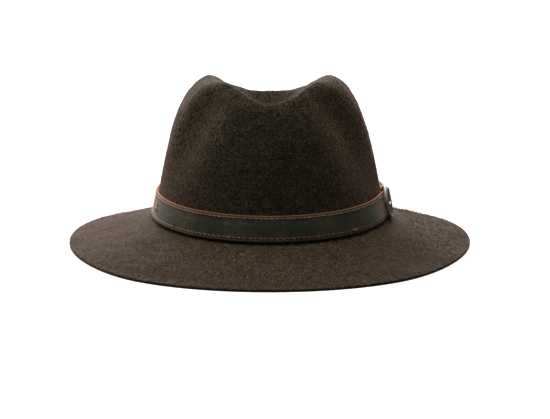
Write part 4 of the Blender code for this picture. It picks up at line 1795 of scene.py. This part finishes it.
@dataclass
class Stitching:
    """The two rows of stitches along the band, the crossed tack and the thread's knot."""

    path: BandPath
    strap: StrapBand
    finish: ThreadFinish
    pitch: float = 0.00385
    length: float = 0.0031
    thread: float = 0.00023
    rise: float = 0.00046
    slant: float = -0.30
    unevenness: float = 0.10
    line_step: float = 0.0012
    hole_radius: float = 0.00042
    tack_degrees: float = 198.0
    knot_degrees: float = 314.3
    awl_degrees: float = 220.4
    awl_radius: float = 0.0012
    awl_over_row: float = 0.0006
    awl_dome: float = 0.42
    seed: int = 23

    def tree(self, material: bpy.types.Material, shade: bpy.types.Material) -> tuple[
            bpy.types.NodeTree, dict[str, str]]:
        """Build the node tree that sews a row of stitches along a line, with a flat dark bead of painted
        shade for the needle hole between them.

        Args:
            material: The thread's material.
            shade: The material of the needle holes.

        Returns:
            The tree, and the identifier of each named input.
        """
        titles = ("Pitch", "Length", "Thread", "Rise", "Slant", "Unevenness", "Hole")
        tree, w, given, sockets = new_growth("stitch_row", "Line", titles, "Stitches")

        half = w.math("MULTIPLY", given["Length"], 0.5)
        dip = w.math("MULTIPLY", given["Thread"], -1.1)
        start = w.add("ShaderNodeCombineXYZ", {0: w.math("MULTIPLY", half, -1.0), 2: dip})
        end = w.add("ShaderNodeCombineXYZ", {0: half, 2: dip})
        low = w.add("ShaderNodeCombineXYZ", {0: w.math("MULTIPLY", half, -0.72), 2: given["Rise"]})
        high = w.add("ShaderNodeCombineXYZ", {0: w.math("MULTIPLY", half, 0.72), 2: given["Rise"]})
        arc = w.add("GeometryNodeCurvePrimitiveBezierSegment", {
            "Resolution": 6, "Start": start.outputs[0], "Start Handle": low.outputs[0],
            "End Handle": high.outputs[0], "End": end.outputs[0]})
        ring = w.add("GeometryNodeCurvePrimitiveCircle", {"Resolution": 6, "Radius": given["Thread"]})
        stitch = w.add("GeometryNodeCurveToMesh", {"Curve": arc.outputs[0], "Profile Curve": ring.outputs[0],
                                                   "Fill Caps": True})
        curve = w.add("GeometryNodeMeshToCurve", {"Mesh": given["Line"]})
        spaced = w.add("GeometryNodeResampleCurve", {"Curve": curve.outputs[0], "Length": given["Pitch"]},
                       mode="LENGTH")
        forwards = w.add("GeometryNodeInputTangent").outputs[0]
        out = w.add("GeometryNodeInputNamedAttribute", {"Name": "out"}, data_type="FLOAT_VECTOR").outputs[0]
        facing = w.add("FunctionNodeAxesToRotation", {"Primary Axis": out, "Secondary Axis": forwards},
                       primary_axis="Z", secondary_axis="X")
        aside = w.random(w.math("MULTIPLY", given["Unevenness"], -1.0), given["Unevenness"], given["Seed"])
        turn = w.add("ShaderNodeCombineXYZ", {2: w.math("ADD", given["Slant"], aside)})
        turned = w.add("FunctionNodeRotateRotation",
                       {"Rotation": facing.outputs[0], "Rotate By": turn.outputs[0]}, rotation_space="LOCAL")
        size = w.random(0.88, 1.1, given["Seed"], 1.0)
        sewn = w.add("GeometryNodeInstanceOnPoints", {
            "Points": spaced.outputs[0], "Instance": stitch.outputs[0],
            "Rotation": turned.outputs[0], "Scale": size})
        threads = w.add("GeometryNodeSetMaterial", {"Geometry": w.add(
            "GeometryNodeRealizeInstances", {0: sewn.outputs[0]}).outputs[0], "Material": material})

        # Painted shade: each needle hole is a flat dark bead on the leather between two stitches
        bead = w.add("GeometryNodeMeshUVSphere", {"Segments": 7, "Rings": 4, "Radius": given["Hole"]})
        flat = w.add("GeometryNodeTransform", {"Geometry": bead.outputs[0], "Scale": (1.0, 0.8, 0.16)})
        step = w.math("MULTIPLY", given["Pitch"], 0.5)
        aslant = w.math("MULTIPLY", w.math("MULTIPLY", given["Length"], 0.5), w.math("SINE", given["Slant"]))
        pierced = w.add("GeometryNodeInstanceOnPoints", {
            "Points": spaced.outputs[0], "Instance": w.add("GeometryNodeTransform", {
                "Geometry": flat.outputs[0],
                "Translation": w.add("ShaderNodeCombineXYZ", {0: step, 1: aslant}).outputs[0]}).outputs[0],
            "Rotation": facing.outputs[0]})
        holes = w.add("GeometryNodeSetMaterial", {"Geometry": w.add(
            "GeometryNodeRealizeInstances", {0: pierced.outputs[0]}).outputs[0], "Material": shade})
        both = w.add("GeometryNodeJoinGeometry")
        for part in (holes, threads):
            tree.links.new(part.outputs[0], both.inputs[0])
        smooth = w.add("GeometryNodeSetShadeSmooth", {0: both.outputs[0]})
        w.add("NodeGroupOutput", {0: smooth.outputs[0]})
        return tree, sockets

    def row_line(self, row: Row) -> bpy.types.Object:
        """Draw the line that a row of stitches follows on the strap's outer face.

        Args:
            row: Which row.

        Returns:
            An object of vertices and edges with the outward direction kept on each vertex.
        """
        s = self.strap.sizes
        total = self.path.length + s.tip_reach
        along = np.arange(s.eye_taper * 0.45, total - s.tip_taper * 0.55, self.line_step)
        hidden = ((along > self.path.length - s.buckle_length * 1.02)
                  & (along < self.path.length + s.eye_radius * 1.3))
        covered = along < s.tip_reach + 0.001
        keep = ~(hidden | covered)
        outer = np.array([self.strap.faces_at(float(a))[1] for a in along])
        across = np.full(len(along), s.width * row.value)
        places = self.path.wrap(np.column_stack([along, across, outer]))
        outs = self.path.at(self.path.out, along)
        edges = [(k, k + 1) for k in range(len(along) - 1) if keep[k] and keep[k + 1]]
        mesh = bpy.data.meshes.new(f"stitch_{row.name.lower()}")
        mesh.from_pydata(places.tolist(), edges, [])
        layer = mesh.attributes.new("out", "FLOAT_VECTOR", "POINT")
        layer.data.foreach_set("vector", outs.ravel())
        drop_loose(mesh)
        return linked(mesh.name, mesh)

    def build_rows(self, material: bpy.types.Material, shade: bpy.types.Material) -> list[bpy.types.Object]:
        """Sew both rows.

        Args:
            material: The thread's material.
            shade: The material of the needle holes.

        Returns:
            One piece for each row.
        """
        tree, sockets = self.tree(material, shade)
        things = []
        for row in Row:
            slant = self.slant if row is Row.LOWER else self.slant * 0.5
            values = {"Pitch": self.pitch, "Length": self.length, "Thread": self.thread, "Rise": self.rise,
                      "Slant": slant, "Unevenness": self.unevenness, "Hole": self.hole_radius,
                      "Seed": self.seed + (row is Row.UPPER)}
            values = {sockets[title]: value for title, value in values.items()}
            things.append(grow(self.row_line(row), tree, values))
        return things

    def strand(self, name: str, flat: Sequence[tuple[float, float, float]],
               radius: float) -> bpy.types.Object:
        """Lay a short piece of thread on the strap's outer face.

        Args:
            name: The piece's name.
            flat: Its points as along, across and height over the leather.
            radius: The thread's radius.

        Returns:
            The piece.
        """
        rough = np.asarray(flat, float)
        places = np.linspace(0, len(rough) - 1, 5 * (len(rough) - 1) + 1)
        smooth = np.stack([np.interp(places, np.arange(len(rough)), rough[:, axis])
                           for axis in range(3)], axis=-1)
        for _ in range(3):
            smooth[1:-1] = (smooth[:-2] + 2 * smooth[1:-1] + smooth[2:]) / 4
        smooth[:, 2] += np.array([self.strap.faces_at(float(a))[1] for a in smooth[:, 0]])
        thing = tube(name, smooth, np.full(len(smooth), radius), 8, OUT)
        self.path.wrap_mesh(thing.data)
        return thing

    def build_tack(self) -> list[bpy.types.Object]:
        """Make the crossed tack on the wearer's right and the knot near the buckle.

        Returns:
            The pieces.
        """
        middle = self.strap.sizes.width / 2
        tack = self.along_of(self.tack_degrees)
        r = self.thread * 1.15
        pieces = []
        crossings = ((-2.6, -3.2, 2.6, 3.6), (2.8, -3.1, -2.4, 3.5), (-4.6, 0.5, 4.6, -0.3))
        for number, (a0, c0, a1, c1) in enumerate(crossings):
            steps = ((a0, c0, 1e-3, -r), (a0, c0, 0.75e-3, r * 1.2),
                     (a0 + a1, c0 + c1, 0.5e-3, r * (1.5 + 1.2 * number)),
                     (a1, c1, 0.75e-3, r * 1.2), (a1, c1, 1e-3, -r))
            line = [(tack + a * share, middle + c * share, over) for a, c, share, over in steps]
            pieces.append(self.strand(f"tack_thread_{number + 1}", line, r))
        knot = self.along_of(self.knot_degrees)
        low = self.strap.sizes.width * Row.LOWER.value
        loops = ((-1.9, -0.5, 0.3), (-0.9, 0.6, 0.7), (0.1, 0.9, 0.9), (0.9, 0.1, 0.8), (0.2, -0.7, 0.9),
                 (-0.6, 0.0, 1.2), (0.5, 0.7, 1.1), (1.9, 0.2, 0.2))
        line = [(knot + a * 1e-3, low + c * 1e-3, h * 1e-3) for a, c, h in loops]
        pieces.append(self.strand("thread_knot", line, self.thread * 1.2))
        return pieces

    def build_pierced_hole(self, shade: bpy.types.Material) -> bpy.types.Object:
        """Make the wider awl hole at the front of the wearer's right, on the lower row, as a flattened dark
        ball of painted shade half sunk in the strap.

        Args:
            shade: The material of the needle holes.

        Returns:
            The piece.
        """
        along = self.along_of(self.awl_degrees)
        across = self.strap.sizes.width * Row.LOWER.value
        # Painted shade: a flattened dark ball half sunk in the strap's face stands for the hole
        shape = bmesh.new()
        bmesh.ops.create_uvsphere(shape, u_segments=14, v_segments=8, radius=self.awl_radius)
        face = self.strap.faces_at(along)[1]
        for vert in shape.verts:
            vert.co = (along + vert.co.x, across + self.awl_over_row + vert.co.y,
                       face + self.awl_dome * vert.co.z)
        thing = object_of_shape("awl_hole", shape)
        self.path.wrap_mesh(thing.data)
        thing.data.materials.append(shade)
        return thing

    def along_of(self, degrees_from_buckle: float) -> float:
        """Give the distance along the strap of a place at an angle round the hat from the buckle.

        Args:
            degrees_from_buckle: The angle, counted backwards round the crown.

        Returns:
            The distance.
        """
        runs = self.path.along
        share = degrees_from_buckle / 360.0
        return float(np.interp(share * (len(runs) - 1), np.arange(len(runs)), runs))

    def dress(self, things: Sequence[bpy.types.Object], material: bpy.types.Material) -> None:
        """Give each piece of thread the thread's material where it has none, and attach it to the hat's
        body.

        Args:
            things: The pieces of thread.
            material: The thread's material.
        """
        for thing in things:
            if not thing.data.materials:
                thing.data.materials.append(material)
            hand_in(thing, "waxed_leather")


# The studio


@dataclass(frozen=True)
class SoftBox:
    """A square light that faces the hat."""

    name: str
    place: tuple[float, float, float]
    aim: tuple[float, float, float]
    size: float
    height: float
    power: float

    def build(self) -> None:
        """Hang the light."""
        lamp = bpy.data.lights.new(self.name, "AREA")
        lamp.shape = "RECTANGLE"
        lamp.size = self.size
        lamp.size_y = self.height
        lamp.energy = self.power
        thing = linked(self.name, lamp)
        thing.location = self.place
        way = Vector(self.aim) - Vector(self.place)
        thing.rotation_euler = way.to_track_quat("-Z", "Y").to_euler()


@dataclass
class Studio:
    """A pale light tent: floor, soft boxes, an even sky and the camera."""

    picture_width: int = 550
    picture_pixels_per_radian: float = 2427.0
    sensor: float = 36.0
    elevation: float = math.radians(10.8)
    distance: float = 1.8
    target: tuple[float, float, float] = (0.0039, 0.0, 0.0260)
    floor_reach: float = 6.0
    floor_colour: Colour = (0.26, 0.26, 0.26)
    floor_glow: float = 1.0
    sky_strength: float = 0.05
    boxes: tuple[SoftBox, ...] = (
        SoftBox("top_box", (-0.16, 0.15, 1.35), (0.0, 0.0, 0.05), 1.1, 1.1, 39.5),
        SoftBox("left_box", (-1.20, 1.15, 0.36), (0.0, 0.0, 0.06), 1.0, 0.6, 5.6),
        SoftBox("right_box", (0.95, 1.40, 0.40), (0.0, 0.0, 0.06), 0.5, 0.6, 2.5),
        SoftBox("back_box", (-0.20, 1.65, 0.60), (0.0, 0.0, 0.05), 1.3, 0.9, 70.0),
    )

    def build_camera(self) -> None:
        """Place the camera as the photograph was taken."""
        data = bpy.data.cameras.new("camera")
        data.sensor_width = self.sensor
        data.lens = self.sensor * self.picture_pixels_per_radian / self.picture_width
        data.dof.use_dof = False
        thing = linked("camera", data)
        x, y, z = self.target
        back, up = self.distance * math.cos(self.elevation), self.distance * math.sin(self.elevation)
        thing.location = (x, y - back, z + up)
        thing.rotation_euler = (QUARTER_TURN - self.elevation, 0.0, 0.0)
        bpy.context.scene.camera = thing

    def build_floor(self) -> None:
        """Lay the plain pale floor."""
        reach = self.floor_reach
        corners = np.array(((-reach, -reach, 0.0), (reach, -reach, 0.0),
                            (reach, reach, 0.0), (-reach, reach, 0.0)))
        floor = object_from("studio_floor", corners, [(0, 1, 2, 3)])
        paint = bpy.data.materials.new("studio_white")
        paint.use_nodes = True
        shader = paint.node_tree.nodes["Principled BSDF"]
        shader.inputs["Base Color"].default_value = opaque(self.floor_colour)
        shader.inputs["Roughness"].default_value = 0.9
        shader.inputs["Specular IOR Level"].default_value = 0.0
        shader.inputs["Emission Color"].default_value = (1.0, 1.0, 1.0, 1.0)
        w = Wiring(paint.node_tree)
        seen = w.add("ShaderNodeLightPath").outputs["Is Camera Ray"]
        w.put(shader.inputs["Emission Strength"], w.math("MULTIPLY", seen, self.floor_glow))
        floor.data.materials.append(paint)

    def build_sky(self) -> None:
        """Light the tent evenly."""
        world = bpy.data.worlds.new("tent")
        world.use_nodes = True
        sky = world.node_tree.nodes["Background"]
        sky.inputs["Color"].default_value = (1.0, 1.0, 1.0, 1.0)
        sky.inputs["Strength"].default_value = self.sky_strength
        bpy.context.scene.world = world

    def build(self) -> None:
        """Set up the whole studio."""
        self.build_camera()
        self.build_floor()
        self.build_sky()
        for box in self.boxes:
            box.build()
        bpy.context.scene.view_settings.view_transform = "Standard"


def main() -> None:
    """Build each piece of the hat in order, dress it and light it."""
    logging.basicConfig(level=logging.INFO, format="%(name)s: %(message)s")
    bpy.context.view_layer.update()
    effects = SharedEffects()

    felt_surface = FeltSurface(FeltSizes())
    felt = FeltBody(felt_surface, FeltFinish())
    felt.dress(felt.build(), effects)
    LOG.info("felt body dressed")

    strap_sizes = StrapSizes()
    path = BandPath(felt_surface, strap_sizes)
    buckle = Buckle(path, strap_sizes, MetalFinish())
    strap = StrapBand(path, strap_sizes, LeatherFinish())
    strap.dress(strap.build(buckle), effects)
    LOG.info("strap dressed")
    buckle.dress(buckle.build(), effects)
    LOG.info("buckle dressed")

    stitching = Stitching(path, strap, ThreadFinish())
    thread = stitching.finish.material(effects)
    shade = HoleFinish().material(effects)
    sewn = stitching.build_rows(thread, shade) + stitching.build_tack()
    stitching.dress(sewn + [stitching.build_pierced_hole(shade)], thread)
    LOG.info("stitches sewn")

    crown = LooseFibres("crown_hairs", FibreFinish(), density=135000.0, length=0.0016, radius=0.00005,
                        lay_spread=0.6, seed=5)
    hand_in(crown.build(felt.points[CROWN_HAIR_ROWS], effects), "brown_felt")
    # Painted light: the brim's hairs are lighter and pinker than the crown's, a tint for the sheen that the
    # brim shows
    brim_finish = FibreFinish("loose_brim_hairs", dark=linear(30, 22, 16), light=linear(166, 119, 96))
    brim = LooseFibres("brim_hairs", brim_finish, density=230000.0, length=0.0022, radius=0.00007, lean=1.2,
                       lay_turn=-QUARTER_TURN, lay_spread=1.3, seed=8)
    hand_in(brim.build(felt.points[BRIM_HAIR_ROWS], effects), "brown_felt")
    LOG.info("hairs grown")

    Studio().build()


if __name__ == "__main__":
    main()
